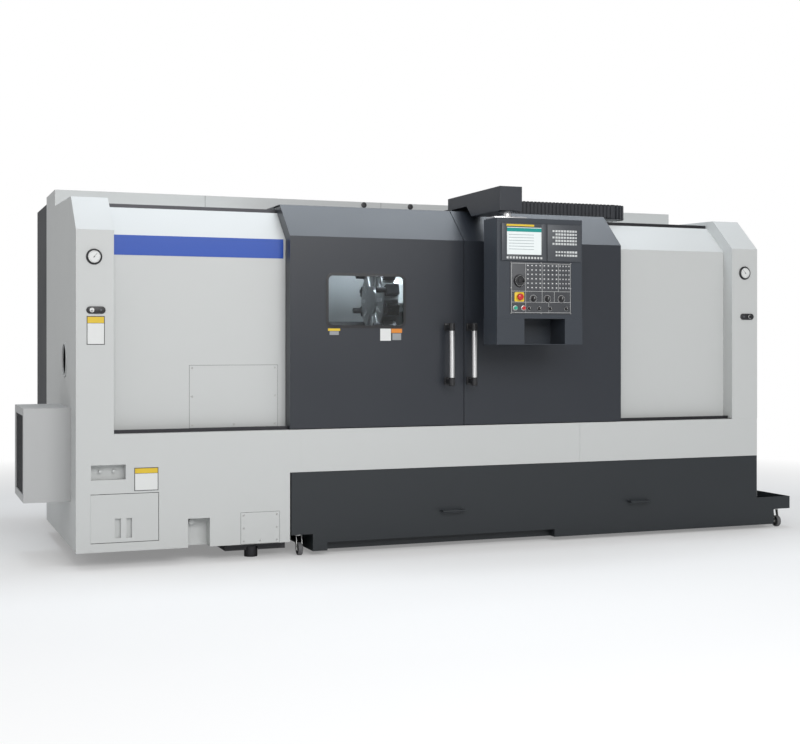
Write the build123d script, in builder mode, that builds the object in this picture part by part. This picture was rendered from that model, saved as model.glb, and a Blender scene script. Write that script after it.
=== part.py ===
from build123d import *
import os
from math import cos, pi, radians, sin

os.makedirs("parts", exist_ok=True)

# The frame has its origin on the floor under the middle of the machine, +X to the right along the
# spindle and +Y from the front to the back. Positions along X are given from the enclosure's left
# side, and depths from its front plane.

# Lengths of the front, from left to right
left_pillar_length = 206
left_recess_length = 1011
left_door_length = 1101
right_door_length = 1096
door_meeting_gap = 4
right_recess_length = 846
right_pillar_length = 199
upper_panel_overlap = 70

# Heights from the floor
skirt_bottom = 89
lower_panel_bottom = 492
ledge_height = 740
front_fold_height = 1869
ridge_height = 2071
recess_fold_height = 1853
recess_roof_height = 2025
pillar_roof_height = 2092
pillar_roof_level = 20
rear_cover_rise = 103
door_opening_top = 1790
right_side_bottom = 215

# Depths from the front plane
recess_depth = 98
ridge_depth = 221
recess_ridge_depth = 289
rear_cover_depth = 1011
body_depth = 1493
origin_depth = 835
sheet = 3

# Slanted bed and spindle axis
slant = radians(60)
spindle_depth = 508
spindle_height = 1148
bed_face_offset = 350
bed_down = 380
bed_up = 480
bed_base_bottom = 41
bed_base_front = 760
bed_rear_margin = 93
bed_block_left = 856
bed_block_front = 100
bed_block_top = 880
bed_block_step = 560
bed_block_step_depth = 258
bed_block_toe_height = 400
bed_right_end = 4200
bed_left_margin = 2
core_count = 5
core_rib = 60
core_wall = 90
core_low_depth = 900
core_high_depth = 1110
core_bottom = 110
core_middle = 640
core_top = 1290
core_web = 60

# Ways on the slanted face
way_end_margin = 25
carriage_way_width = 70
carriage_way_height = 45
carriage_way_low = -300
carriage_way_high = 330
tailstock_way_width = 60
tailstock_way_height = 30
tailstock_way_spread = 150
running_gap = 0.3

# Levelling feet
foot_radius = 39
foot_height = 62
foot_pocket_radius = 46
front_foot_place = (1017, 132)
rear_foot_margin = 70
base_foot_depth = 830
foot_lengths = (1500, 2750, 4050)

# Shelves for the motor and the hydraulic unit
shelf_thickness = 20
motor_shelf_left = 130
motor_shelf_depths = (870, 1230)
motor_shelf_top = 300
hydraulic_shelf_left = 60
hydraulic_shelf_depths = (160, 700)
hydraulic_shelf_top = 112

# Headstock, spindle, motor and belt
headstock_left = 700
headstock_right = 1200
headstock_half_depth = 250
headstock_top = 1400
headstock_edge = 30
shaft_radius = 70
shaft_fit = 0.05
spindle_bore_radius = 45
spindle_rear = 330
clamp_cylinder_length = 190
clamp_cylinder_radius = 115
pulley_left = 600
pulley_width = 90
spindle_pulley_radius = 150
nose_radius = 140
nose_length = 65
nose_hole_gap = 10
chamber_wall_left = 1217
motor_pulley_radius = 125
motor_depth = 1050
motor_radius = 180
motor_left = 150
motor_right = 570
motor_foot_height = 20
motor_shaft_radius = 30
motor_shaft_engagement = 30
belt_thickness = 12
belt_margin = 5

# Chuck and jaws
chuck_radius = 190
chuck_length = 130
chuck_bore_radius = 52
chuck_edge = 12
jaw_count = 3
jaw_width = 40
jaw_slot_depth = 28
jaw_inner_radius = 62
jaw_outer_radius = 184
jaw_step_radius = 130
jaw_step_length = 34
jaw_length = 62

# Carriage, cross slide and turret
carriage_left = 2100
carriage_right = 2560
carriage_down = 350
carriage_up = 400
carriage_thickness = 80
carriage_lip = 14
carriage_lip_depth = 30
cross_slide_left = 2110
cross_slide_right = 2530
cross_slide_from = 60
cross_slide_to = 640
cross_slide_thickness = 74
turret_along = 431
turret_housing_half = 150
turret_housing_left = 2095
turret_housing_right = 2440
turret_housing_edge = 40
turret_disc_left = 1985
turret_disc_thickness = 100
turret_disc_radius = 210
turret_hub_radius = 95
turret_hub_length = 14
turret_gap = 10
turret_pilot_radius = 60
station_count = 12
holder_width = 64
holder_length = 84
holder_height = 52
tool_section = 22
tool_reach = 20
bar_tool_radius = 18
bar_tool_length = 60
bar_tool_circle = 165

# Tailstock and quill
tailstock_left = 3560
tailstock_right = 4060
tailstock_base_half = 190
tailstock_body_radius = 115
tailstock_base_top = -150
quill_radius = 55
quill_projection = 120
quill_engagement = 360
centre_length = 80
centre_radius = 30
centre_tip_radius = 3

# Chamber lining
lining = 4
chamber_right_margin = 20
chamber_rear_margin = 73
chamber_floor = 500

# Front left panel: pocket, drain notch and service door opening
pocket_x = (82, 271)
pocket_z = (488, 570)
pocket_depth = 60
pocket_fittings = (138, 212)
pocket_fitting_radius = 9
pocket_fitting_height = 531
notch_x = (620, 745)
notch_top = 252
notch_depth = 90
drain_radius = 16
drain_height = 226
service_door_x = (82, 452)
service_door_z = (141, 407)
service_door_gap = 3
service_door_thickness = 20
service_slot_x = ((212, 244), (275, 305))
service_slot_z = (164, 272)

# Openings and seams of the panels
bar_opening_radius = 92
bar_ring_width = 12
bar_ring_height = 6
lower_seam = 3120
seam_width = 3
seam_depth = 1
rear_cover_right_step = 43

# Roof deck over the doors
deck_thickness = 4
deck_front_gap = 5
deck_front_wall = 350
chain_tray_length = 182
chain_tray_depths = (296, 570)

# Door and trolley rails
door_clearance = 8
rail_end_gap = 6
upper_rail_depth = 300
upper_rail_width = 12
upper_rail_height = 22
lower_rail_depth = 40
lower_rail_width = 12
lower_rail_height = 20
trolley_rail_x = (1490, 3055)
trolley_rail_depths = (380, 700)
trolley_rail_width = 50
trolley_rail_height = 12

# Doors
door_bottom = 745
door_rail = 60
door_top_rail = 60
door_stile = 45
door_lip_depth = 340
door_lip_top = 2060
window_x = (1448, 1927)
window_z = (1345, 1645)
window_corner = 30
window_frame = 36
window_frame_depth = 30
glass_thickness = 8
glass_depth = 8
glass_overlap = 14
left_handle_x = 2204
right_handle_x = 2352
handle_tube_radius = 16.5
handle_proud = 100
handle_tube_z = (985, 1365)
handle_bracket_width = 34
handle_bracket_height = 46
handle_bracket_thickness = 12
handle_brackets = (990, 1318)

# Pendant beam, chain and pivot
beam_x = (2399, 2543)
beam_front = -345
beam_rear = 434
beam_low = 2027
beam_step_depths = (67, 140)
beam_underside = 2095
beam_top = 2170
tail_rear = 770
tail_thickness = 14
shoe_wall = 10
pivot_depth = -290
pivot_radius = 22
pivot_fit = 0.05
pivot_engagement = 60
pivot_flange_radius = 60
pivot_flange_height = 14
pivot_cap_radius = 48
pivot_cap_height = 10
chain_front_depth = 322
chain_bend_radius = 110
chain_bend_x = 3540
chain_fixed_x = 3080
chain_height = 92
chain_width = 44
chain_pitch = 50
chain_link_length = 44
chain_core_inset = 4
chain_clamp_length = 20

# Pendant
pendant_x = (2354, 2918)
pendant_depths = (-400, -210)
pendant_z = (1388, 1978)
pendant_edge = 8
pendant_cavity_x = (2452, 2828)
pendant_cavity_z = (1428, 1708)
pendant_cavity_depth = 70
shelf_bottom = 1235
shelf_space_x = (2532, 2800)
shelf_floor = 3
shelf_back = 3
screen_x = (2380, 2674)
keypad_x = (2678, 2904)
unit_z = (1728, 1946)
unit_thickness = 10
screen_margin = (34, 36)
screen_recess = 4
key_pitch = 21
key_size = 14
key_height = 2
keypad_rows = 8
keypad_columns = 9
panel_x = (2438, 2840)
panel_z = (1415, 1721)
panel_thickness = 4
mode_key_rows = 3
mode_key_columns = 7
mode_key_z = 1672
mode_key_x = 2680
mode_key_pitch = (36, 30)
mode_key_size = (26, 20)

# Controls on the switch panel
emergency_place = (2496, 1515)
emergency_head_radius = 20
emergency_head_length = 18
emergency_stem_radius = 11
emergency_collar_radius = 30
emergency_collar_thickness = 4
emergency_travel = 5
handwheel_place = (2496, 1609)
handwheel_radius = 34
handwheel_thickness = 14
handwheel_hub_radius = 14
handwheel_shaft_radius = 6
handwheel_grip_radius = 6
start_place = (2470, 1450)
stop_place = (2523, 1450)
push_radius = 11
push_length = 9
push_stem_radius = 8
push_travel = 3
stem_length = 40
stem_gap = 0.3
override_places = ((2588, 1505), (2680, 1505), (2773, 1505))
override_radius = 17
override_length = 18
small_knob_places = ((2562, 1447), (2628, 1447), (2700, 1447), (2806, 1447))
small_knob_radius = 9
small_knob_length = 14

# Coolant tank and casters
tank_x = (1225, 4460)
sump_x = (1356, 4595)
tray_right = 4726
tank_depth = 720
tank_wall = 4
tank_rim_gap = 2
step_height = 127
sump_bottom = 27
tray_height = 209
toe_x = (1445, 2941)
toe_height = 75
toe_depth = 60
tank_handles_x = (2237, 3540)
tank_handle_width = 135
tank_handle_z = 227
tank_handle_proud = 42
tank_handle_radius = 7
caster_places_x = (1290, 4660)
front_caster_depth = 78
rear_caster_depth = 640
wheel_radius = 37.5
wheel_width = 26
wheel_edge = 5
axle_radius = 5
axle_fit = 0.05
caster_trail = 20
caster_plate_thickness = 5
caster_plate_half = 34
fork_disc_radius = 26
fork_disc_thickness = 7
fork_cheek = 3
fork_gap = 2
fork_width = 30

# Oil cooler on the left side
cooler_length = 258
cooler_depths = (222, 771)
cooler_z = (352, 879)
cooler_frame = 42
cooler_recess = 24
louvre_count = 14
louvre_thickness = 6
louvre_width = 14

# Electrical cabinet behind the left end
cabinet_length = 800
cabinet_depth = 593
cabinet_z = (420, 2150)
cabinet_door_thickness = 24
cabinet_door_gap = 0.3
cabinet_handle_z = (1127, 1248)
cabinet_handle_inset = 40
cabinet_handle_width = 30
cabinet_handle_proud = 30
drive_plate_margin = 60
drive_plate_thickness = 4
drive_rows = 3
drive_columns = 5
drive_size = (90, 150, 330)
drive_pitch = (130, 480)

# Hydraulic unit
hydraulic_x = (110, 560)
hydraulic_depths = (180, 640)
hydraulic_tank_height = 190
pump_radius = 65
pump_length = 210
valve_size = (90, 120, 110)

# Plates, gauges and small fittings
plate_thickness = 1.5
band_z = (1740, 1853)
band_right = 1205
pillar_plate_x = (58, 156)
pillar_plate_z = (1235, 1393)
lower_plate_x = (318, 452)
lower_plate_z = (421, 550)
recess_cover_x = (648, 1169)
recess_cover_z = (758, 1116)
skirt_cover_x = (925, 1153)
skirt_cover_z = (92, 271)
gauge_places = ((98, 1720), (4362, 1710))
gauge_radius = 44
gauge_depth = 14
gauge_bezel = 6
gauge_face_recess = 4
oval_places = ((108, 1426), (4380, 1419))
oval_length = 104
oval_height = 40
oval_thickness = 6
oval_knob_offset = 22
oval_knob_radius = 13
oval_knob_length = 16

# Places that follow from the sizes above
left_recess_start = left_pillar_length
left_door_start = left_recess_start + left_recess_length
left_door_end = left_door_start + left_door_length
right_door_start = left_door_end + door_meeting_gap
right_door_end = right_door_start + right_door_length
right_pillar_start = right_door_end + right_recess_length
body_length = right_pillar_start + right_pillar_length
x_left = -body_length / 2
rear_cover_right = body_length - rear_cover_right_step
rear_cover_height = pillar_roof_height + rear_cover_rise
bed_base_rear = body_depth - bed_rear_margin
rear_foot_depth = bed_base_rear - rear_foot_margin
chamber_rear = body_depth - chamber_rear_margin
chamber_right = right_pillar_start - chamber_right_margin
y_front = -origin_depth
deck_top = ridge_height
rail_top = deck_top + trolley_rail_height
chain_bottom = deck_top + running_gap
chain_back_depth = chain_front_depth + 2 * chain_bend_radius
motor_height = motor_shelf_top + motor_foot_height + motor_radius
nose_right = chamber_wall_left + lining + nose_length
pulley_right = pulley_left + pulley_width
tank_top = lower_panel_bottom - tank_rim_gap
bed_left = chamber_wall_left - bed_left_margin


def block(x, depth, z, mode=Mode.ADD):
    """A block between two lengths from the left, two depths and two heights."""
    middle = (x_left + (x[0] + x[1]) / 2, y_front + (depth[0] + depth[1]) / 2, (z[0] + z[1]) / 2)
    with Locations(middle):
        Box(x[1] - x[0], depth[1] - depth[0], z[1] - z[0], mode=mode)


def section_plane(x):
    """The plane across the machine at a length from its left side."""
    return Plane((x_left + x, y_front, 0), x_dir=(0, 1, 0), z_dir=(1, 0, 0))


def front_plane(depth):
    """The plane along the machine at a depth, seen from the front."""
    return Plane((x_left, y_front + depth, 0), x_dir=(1, 0, 0), z_dir=(0, -1, 0))


def floor_plane(z):
    """The level plane at a height."""
    return Plane((x_left, y_front, z))


def long_bar(points, x, mode=Mode.ADD):
    """A bar along X with an outline of depths and heights."""
    with BuildSketch(section_plane(x[0])) as outline:
        with BuildLine():
            Polyline(*points, close=True)
        make_face()
    extrude(outline.sketch, amount=x[1] - x[0], mode=mode)


def folded_sheet(points, x):
    """A folded sheet along X whose outer face follows the points, with its metal on their right."""
    with BuildSketch(section_plane(x[0])) as outline:
        with BuildLine():
            Polyline(*points)
            offset(amount=sheet, side=Side.RIGHT, kind=Kind.INTERSECTION)
        make_face()
    extrude(outline.sketch, amount=x[1] - x[0])


def rod_x(centre, radius, x, mode=Mode.ADD):
    """A round bar along X about a depth and a height."""
    with BuildSketch(section_plane(x[0])) as outline:
        with Locations(centre):
            Circle(radius)
    extrude(outline.sketch, amount=x[1] - x[0], mode=mode)


def rod_y(centre, radius, depth, mode=Mode.ADD):
    """A round bar from the front to the back about a length and a height."""
    with BuildSketch(front_plane(depth[1])) as outline:
        with Locations(centre):
            Circle(radius)
    extrude(outline.sketch, amount=depth[1] - depth[0], mode=mode)


def rod_z(centre, radius, z, mode=Mode.ADD):
    """An upright round bar about a length and a depth."""
    with BuildSketch(floor_plane(z[0])) as outline:
        with Locations(centre):
            Circle(radius)
    extrude(outline.sketch, amount=z[1] - z[0], mode=mode)


def slant_point(along, out):
    """A point up the slope and out from the spindle axis, as a depth and a height."""
    depth = spindle_depth + along * cos(slant) - out * sin(slant)
    height = spindle_height + along * sin(slant) + out * cos(slant)
    return (depth, height)


def slant_bar(along, out, x, mode=Mode.ADD):
    """A bar along X that lies square to the slope."""
    corners = ((along[0], out[0]), (along[1], out[0]), (along[1], out[1]), (along[0], out[1]))
    long_bar([slant_point(a, o) for a, o in corners], x, mode)


def save(builder, label):
    """Labels a finished piece and writes it to its file."""
    builder.part.label = label
    export_step(builder.part, "parts/" + label + ".step")


spindle_centre = (spindle_depth, spindle_height)
motor_centre = (motor_depth, motor_height)
bed_top = slant_point(bed_up, -bed_face_offset)
bed_lip = slant_point(-bed_down, -bed_face_offset)
way_face = -bed_face_offset

# Machine bed: a casting with a slanted face, cored from the back, and a block under the headstock
foot_places = [front_foot_place, (front_foot_place[0], rear_foot_depth)]
foot_places += [(x, depth) for x in foot_lengths for depth in (base_foot_depth, rear_foot_depth)]
core_pitch = (bed_right_end - bed_left - core_rib) / core_count
bed_outline = [
    (bed_base_front, bed_base_bottom),
    (bed_base_rear, bed_base_bottom),
    (bed_base_rear, bed_top[1]),
    bed_top,
    bed_lip,
    (bed_base_front, chamber_floor),
]
block_outline = [
    (bed_block_front, bed_base_bottom),
    (bed_base_rear, bed_base_bottom),
    (bed_base_rear, bed_block_top),
    (bed_block_step_depth, bed_block_top),
    (bed_block_step_depth, bed_block_step),
    (bed_block_front, bed_block_toe_height),
]
with BuildPart() as machine_bed:
    long_bar(bed_outline, (bed_left, bed_right_end))
    long_bar(block_outline, (bed_block_left, bed_left))
    for i in range(core_count):
        start = bed_left + core_rib + i * core_pitch
        span = (start, start + core_pitch - core_rib)
        block(span, (core_low_depth, bed_base_rear + 1), (core_bottom, core_middle), Mode.SUBTRACT)
        upper = (core_middle + core_web, core_top)
        block(span, (core_high_depth, bed_base_rear + 1), upper, Mode.SUBTRACT)
    motor_shelf = (motor_shelf_top - shelf_thickness, motor_shelf_top)
    block((motor_shelf_left, bed_block_left), motor_shelf_depths, motor_shelf)
    hydraulic_shelf = (hydraulic_shelf_top - shelf_thickness, hydraulic_shelf_top)
    block((hydraulic_shelf_left, bed_block_left), hydraulic_shelf_depths, hydraulic_shelf)
    for place in foot_places:
        rod_z(place, foot_pocket_radius, (bed_base_bottom, foot_height), Mode.SUBTRACT)
save(machine_bed, "machine_bed")

# Ways: four ground bars on the slanted face
ways_x = (bed_left + way_end_margin, bed_right_end - way_end_margin)
with BuildPart() as bed_ways:
    for middle in (carriage_way_low, carriage_way_high):
        span = (middle - carriage_way_width / 2, middle + carriage_way_width / 2)
        slant_bar(span, (way_face, way_face + carriage_way_height), ways_x)
    for middle in (-tailstock_way_spread, tailstock_way_spread):
        span = (middle - tailstock_way_width / 2, middle + tailstock_way_width / 2)
        slant_bar(span, (way_face, way_face + tailstock_way_height), ways_x)
save(bed_ways, "bed_ways")

# Levelling feet, each a short column in a pocket of the bed
with BuildPart() as levelling_feet:
    for place in foot_places:
        rod_z(place, foot_radius, (0, foot_height))
save(levelling_feet, "levelling_feet")

# Headstock with the bore that carries the spindle
headstock_depths = (spindle_depth - headstock_half_depth, spindle_depth + headstock_half_depth)
with BuildPart() as headstock:
    block((headstock_left, headstock_right), headstock_depths, (bed_block_top, headstock_top))
    top_edges = headstock.faces().sort_by(Axis.Z)[-1].edges().filter_by(Axis.X)
    chamfer(top_edges, headstock_edge)
    rod_x(spindle_centre, shaft_radius + shaft_fit, (headstock_left, headstock_right), Mode.SUBTRACT)
save(headstock, "headstock")

# Spindle with its clamping cylinder, pulley and nose
shaft_end = chamber_wall_left + lining
with BuildPart() as spindle:
    rod_x(spindle_centre, shaft_radius, (spindle_rear, shaft_end))
    cylinder_x = (spindle_rear, spindle_rear + clamp_cylinder_length)
    rod_x(spindle_centre, clamp_cylinder_radius, cylinder_x)
    rod_x(spindle_centre, spindle_pulley_radius, (pulley_left, pulley_right))
    rod_x(spindle_centre, nose_radius, (shaft_end, nose_right))
    rod_x(spindle_centre, spindle_bore_radius, (spindle_rear, nose_right), Mode.SUBTRACT)
save(spindle, "spindle")

# Chuck with three radial slots
chuck_face = nose_right + chuck_length
jaw_directions = [(cos(2 * pi * i / jaw_count + pi / 2), sin(2 * pi * i / jaw_count + pi / 2)) for i in
                  range(jaw_count)]


def jaw_plane(direction, x):
    """A plane across the spindle axis whose own X axis runs along a jaw."""
    origin = (x_left + x, y_front + spindle_depth, spindle_height)
    return Plane(origin, x_dir=(0, direction[0], direction[1]), z_dir=(1, 0, 0))


def jaw_bar(direction, radii, width, x, mode=Mode.ADD):
    """A bar along a jaw's direction, between two radii and two lengths."""
    with BuildSketch(jaw_plane(direction, x[0])) as outline:
        with Locations(((radii[0] + radii[1]) / 2, 0)):
            Rectangle(radii[1] - radii[0], width)
    extrude(outline.sketch, amount=x[1] - x[0], mode=mode)


slot_bottom = chuck_face - jaw_slot_depth
with BuildPart() as chuck:
    rod_x(spindle_centre, chuck_radius, (nose_right, chuck_face))
    chamfer(chuck.faces().sort_by(Axis.X)[-1].edges(), chuck_edge)
    rod_x(spindle_centre, chuck_bore_radius, (nose_right, chuck_face), Mode.SUBTRACT)
    for direction in jaw_directions:
        slot = (0, chuck_radius + 1)
        jaw_bar(direction, slot, jaw_width, (slot_bottom, chuck_face), Mode.SUBTRACT)
save(chuck, "chuck")

# Jaws: stepped blocks that run in the slots
for i, direction in enumerate(jaw_directions):
    with BuildPart() as jaw:
        width = jaw_width - 2 * running_gap
        base = (slot_bottom + running_gap, chuck_face)
        jaw_bar(direction, (jaw_inner_radius, jaw_outer_radius), width, base)
        step = (chuck_face, chuck_face + jaw_step_length)
        jaw_bar(direction, (jaw_inner_radius, jaw_outer_radius), width, step)
        nose = (chuck_face + jaw_step_length, chuck_face + jaw_length)
        jaw_bar(direction, (jaw_inner_radius, jaw_step_radius), width, nose)
    save(jaw, "chuck_jaw_" + str(i + 1))

# Spindle motor on its shelf
with BuildPart() as spindle_motor:
    rod_x(motor_centre, motor_radius, (motor_left, motor_right))
    foot_z = (motor_shelf_top, motor_height)
    block((motor_left, motor_right), (motor_depth - motor_radius, motor_depth + motor_radius), foot_z)
    socket = (motor_right - motor_shaft_engagement, motor_right)
    rod_x(motor_centre, motor_shaft_radius + shaft_fit, socket, Mode.SUBTRACT)
save(spindle_motor, "spindle_motor")

# Motor pulley with the motor's shaft end
with BuildPart() as motor_pulley:
    shaft_start = motor_right - motor_shaft_engagement + running_gap
    rod_x(motor_centre, motor_shaft_radius, (shaft_start, pulley_right))
    rod_x(motor_centre, motor_pulley_radius, (pulley_left, pulley_right))
save(motor_pulley, "motor_pulley")

# Drive belt round both pulleys
with BuildPart() as drive_belt:
    with BuildSketch(section_plane(pulley_left + belt_margin)) as belt_loop:
        with Locations(motor_centre):
            Circle(motor_pulley_radius + running_gap)
        with Locations(spindle_centre):
            Circle(spindle_pulley_radius + running_gap)
        make_hull()
        inner_loop = belt_loop.sketch_local
        offset(amount=belt_thickness)
        add(inner_loop, mode=Mode.SUBTRACT)
    extrude(belt_loop.sketch, amount=pulley_width - 2 * belt_margin)
save(drive_belt, "drive_belt")

# Carriage on the outer ways
carriage_out = (way_face + carriage_way_height + running_gap,)
carriage_out += (carriage_out[0] + carriage_thickness,)
carriage_x = (carriage_left, carriage_right)
with BuildPart() as carriage:
    slant_bar((-carriage_down, carriage_up), carriage_out, carriage_x)
    lip_out = (carriage_out[0] - carriage_lip_depth, carriage_out[0])
    low_edge = carriage_way_low - carriage_way_width / 2 - running_gap
    high_edge = carriage_way_high + carriage_way_width / 2 + running_gap
    slant_bar((low_edge - carriage_lip, low_edge), lip_out, carriage_x)
    slant_bar((high_edge, high_edge + carriage_lip), lip_out, carriage_x)
save(carriage, "carriage")

# Cross slide with the turret's housing
turret_centre = slant_point(turret_along, 0)
slide_out = (carriage_out[1] + running_gap, carriage_out[1] + running_gap + cross_slide_thickness)
turret_right = turret_disc_left + turret_disc_thickness
with BuildPart() as cross_slide:
    slide_x = (cross_slide_left, cross_slide_right)
    slant_bar((cross_slide_from, cross_slide_to), slide_out, slide_x)
    housing = (turret_along - turret_housing_half, turret_along + turret_housing_half)
    housing_x = (turret_housing_left, turret_housing_right)
    slant_bar(housing, (slide_out[1], turret_housing_half), housing_x)
    outer_edges = cross_slide.edges().filter_by(Axis.X).sort_by(Axis.Y)[:2]
    chamfer(outer_edges, turret_housing_edge)
    bearing_x = (turret_housing_left, turret_housing_left + turret_gap + running_gap)
    pilot_hole = turret_pilot_radius + shaft_fit
    rod_x(turret_centre, pilot_hole, bearing_x, Mode.SUBTRACT)
save(cross_slide, "cross_slide")


def station_plane(i, x):
    """A plane across the turret's axis whose own X axis points at a tool station."""
    angle = 2 * pi * (i + 0.5) / station_count
    origin = (x_left + x, y_front + turret_centre[0], turret_centre[1])
    return Plane(origin, x_dir=(0, cos(angle), sin(angle)), z_dir=(1, 0, 0))


# Turret disc: one flat for each station, a hub in front and a pilot behind
with BuildPart() as turret_disc:
    with BuildSketch(station_plane(0, turret_disc_left)) as disc_outline:
        RegularPolygon(turret_disc_radius, station_count, major_radius=False, rotation=180 / station_count)
    extrude(disc_outline.sketch, amount=turret_disc_thickness)
    rod_x(turret_centre, turret_hub_radius, (turret_disc_left - turret_hub_length, turret_disc_left))
    pilot_end = turret_housing_left + turret_gap
    rod_x(turret_centre, turret_pilot_radius, (turret_right, pilot_end))
save(turret_disc, "turret_disc")

# Tool holders: a block on each flat, with turning tools and boring bars in turn
with BuildPart() as tool_holders:
    holder_middle = turret_disc_radius + holder_height / 2
    holder_start = turret_disc_left + (turret_disc_thickness - holder_length) / 2
    for i in range(station_count):
        with BuildSketch(station_plane(i, holder_start)) as holder_outline:
            with Locations((holder_middle, 0)):
                Rectangle(holder_height, holder_width)
        extrude(holder_outline.sketch, amount=holder_length)
        if i % 2 == 0:
            tool_middle = turret_disc_radius + holder_height + tool_reach / 2
            with BuildSketch(station_plane(i, holder_start)) as tool_outline:
                with Locations((tool_middle, 0)):
                    Rectangle(tool_reach, tool_section)
            extrude(tool_outline.sketch, amount=tool_section)
        else:
            with BuildSketch(station_plane(i, holder_start - bar_tool_length)) as bar_outline:
                with Locations((holder_middle, 0)):
                    Circle(bar_tool_radius)
            extrude(bar_outline.sketch, amount=bar_tool_length)
save(tool_holders, "tool_holders")

# Tailstock on the inner ways
tailstock_x = (tailstock_left, tailstock_right)
with BuildPart() as tailstock:
    base_bottom = way_face + tailstock_way_height + running_gap
    base = (-tailstock_base_half, tailstock_base_half)
    slant_bar(base, (base_bottom, tailstock_base_top), tailstock_x)
    web = (-tailstock_body_radius, tailstock_body_radius)
    slant_bar(web, (tailstock_base_top, 0), tailstock_x)
    rod_x(spindle_centre, tailstock_body_radius, tailstock_x)
    quill_hole = (tailstock_left, tailstock_left + quill_engagement + running_gap)
    rod_x(spindle_centre, quill_radius + shaft_fit, quill_hole, Mode.SUBTRACT)
save(tailstock, "tailstock")

# Quill with its centre
quill_front = tailstock_left - quill_projection
with BuildPart() as quill:
    rod_x(spindle_centre, quill_radius, (quill_front, tailstock_left + quill_engagement))
    with BuildSketch(section_plane(quill_front)) as centre_root:
        with Locations(spindle_centre):
            Circle(centre_radius)
    with BuildSketch(section_plane(quill_front - centre_length)) as centre_tip:
        with Locations(spindle_centre):
            Circle(centre_tip_radius)
    loft([centre_tip.sketch.face(), centre_root.sketch.face()])
save(quill, "quill")

# Chamber lining: left wall with the nose hole, back wall and right wall
recess_line = [
    (recess_depth, ledge_height),
    (recess_depth, recess_fold_height),
    (recess_ridge_depth, recess_roof_height),
]
ceiling = recess_roof_height - sheet
lining_front = [
    (sheet, chamber_floor),
    (sheet, ledge_height - sheet),
    (recess_depth + sheet, ledge_height - sheet),
    (recess_depth + sheet, recess_fold_height - sheet),
    (recess_ridge_depth + sheet, ceiling),
    (chamber_rear, ceiling),
]
left_wall = lining_front + [(chamber_rear, bed_top[1]), bed_top, bed_lip, (bed_base_front, chamber_floor)]
right_wall = lining_front + [(chamber_rear, chamber_floor)]
with BuildPart() as chamber_liner:
    left_wall_x = (chamber_wall_left, chamber_wall_left + lining)
    long_bar(left_wall, left_wall_x)
    rod_x(spindle_centre, nose_radius + nose_hole_gap, left_wall_x, Mode.SUBTRACT)
    rear_wall_x = (chamber_wall_left + lining + running_gap, chamber_right - lining - running_gap)
    block(rear_wall_x, (chamber_rear - lining, chamber_rear), (bed_top[1], ceiling))
    long_bar(right_wall, (chamber_right - lining, chamber_right))
save(chamber_liner, "chamber_liner")

# Panels that the doors slide over, and the header over the door opening
recess_sheet = recess_line + [(rear_cover_depth, recess_roof_height)]
header_sheet = [(recess_depth, door_opening_top)] + recess_sheet[1:]
with BuildPart() as left_recess_panel:
    folded_sheet(recess_sheet, (left_recess_start, left_door_start))
save(left_recess_panel, "left_recess_panel")
with BuildPart() as header_panel:
    folded_sheet(header_sheet, (left_door_start, right_door_end))
save(header_panel, "header_panel")
with BuildPart() as right_recess_panel:
    folded_sheet(recess_sheet, (right_door_end, right_pillar_start))
save(right_recess_panel, "right_recess_panel")

# Front left panel: pillar, skirt and ledge in one sheet, with its pocket and drain box
pillar_line = [
    (0, front_fold_height),
    (ridge_depth, ridge_height),
    (rear_cover_depth - pillar_roof_level, pillar_roof_height),
    (rear_cover_depth, pillar_roof_height),
]


def pillar_return(x):
    """The wall that closes a pillar towards the recess beside it."""
    with BuildSketch(section_plane(x)) as outline:
        with BuildLine():
            Polyline((0, ledge_height), *pillar_line, (rear_cover_depth, ledge_height), close=True)
        make_face()
        offset(amount=-sheet, kind=Kind.INTERSECTION)
        with BuildLine():
            back = rear_cover_depth
            low = ledge_height - sheet
            Polyline((recess_depth, low), *recess_sheet[1:], (back, low), close=True)
        make_face(mode=Mode.SUBTRACT)
    extrude(outline.sketch, amount=sheet)


ledge_line = [(0, ledge_height), (recess_depth + sheet, ledge_height)]
pocket_wall = (pocket_x[0] - sheet, pocket_x[1] + sheet)
notch_wall = (notch_x[0] - sheet, notch_x[1] + sheet)
with BuildPart() as left_front_panel:
    folded_sheet([(0, skirt_bottom)] + pillar_line, (0, left_pillar_length))
    pillar_return(left_pillar_length - sheet)
    folded_sheet([(0, skirt_bottom)] + ledge_line, (left_pillar_length, left_door_start))
    upper_end = left_door_start + upper_panel_overlap
    folded_sheet([(0, lower_panel_bottom)] + ledge_line, (left_door_start, upper_end))
    block(pocket_wall, (sheet, pocket_depth + sheet), (pocket_z[0] - sheet, pocket_z[1] + sheet))
    block(pocket_x, (-1, pocket_depth), pocket_z, Mode.SUBTRACT)
    for x in pocket_fittings:
        fitting_depths = (pocket_depth - 2 * pocket_fitting_radius, pocket_depth)
        rod_y((x, pocket_fitting_height), pocket_fitting_radius, fitting_depths)
    block(notch_wall, (sheet, notch_depth + sheet), (skirt_bottom, notch_top + sheet))
    block(notch_x, (-1, notch_depth), (skirt_bottom - 1, notch_top), Mode.SUBTRACT)
    drain_place = (notch_x[0] + 2 * drain_radius, drain_height)
    rod_y(drain_place, drain_radius, (notch_depth - 2 * drain_radius, notch_depth))
    door_hole_x = (service_door_x[0] - service_door_gap, service_door_x[1] + service_door_gap)
    door_hole_z = (service_door_z[0] - service_door_gap, service_door_z[1] + service_door_gap)
    block(door_hole_x, (-1, sheet + 1), door_hole_z, Mode.SUBTRACT)
save(left_front_panel, "left_front_panel")

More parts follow.
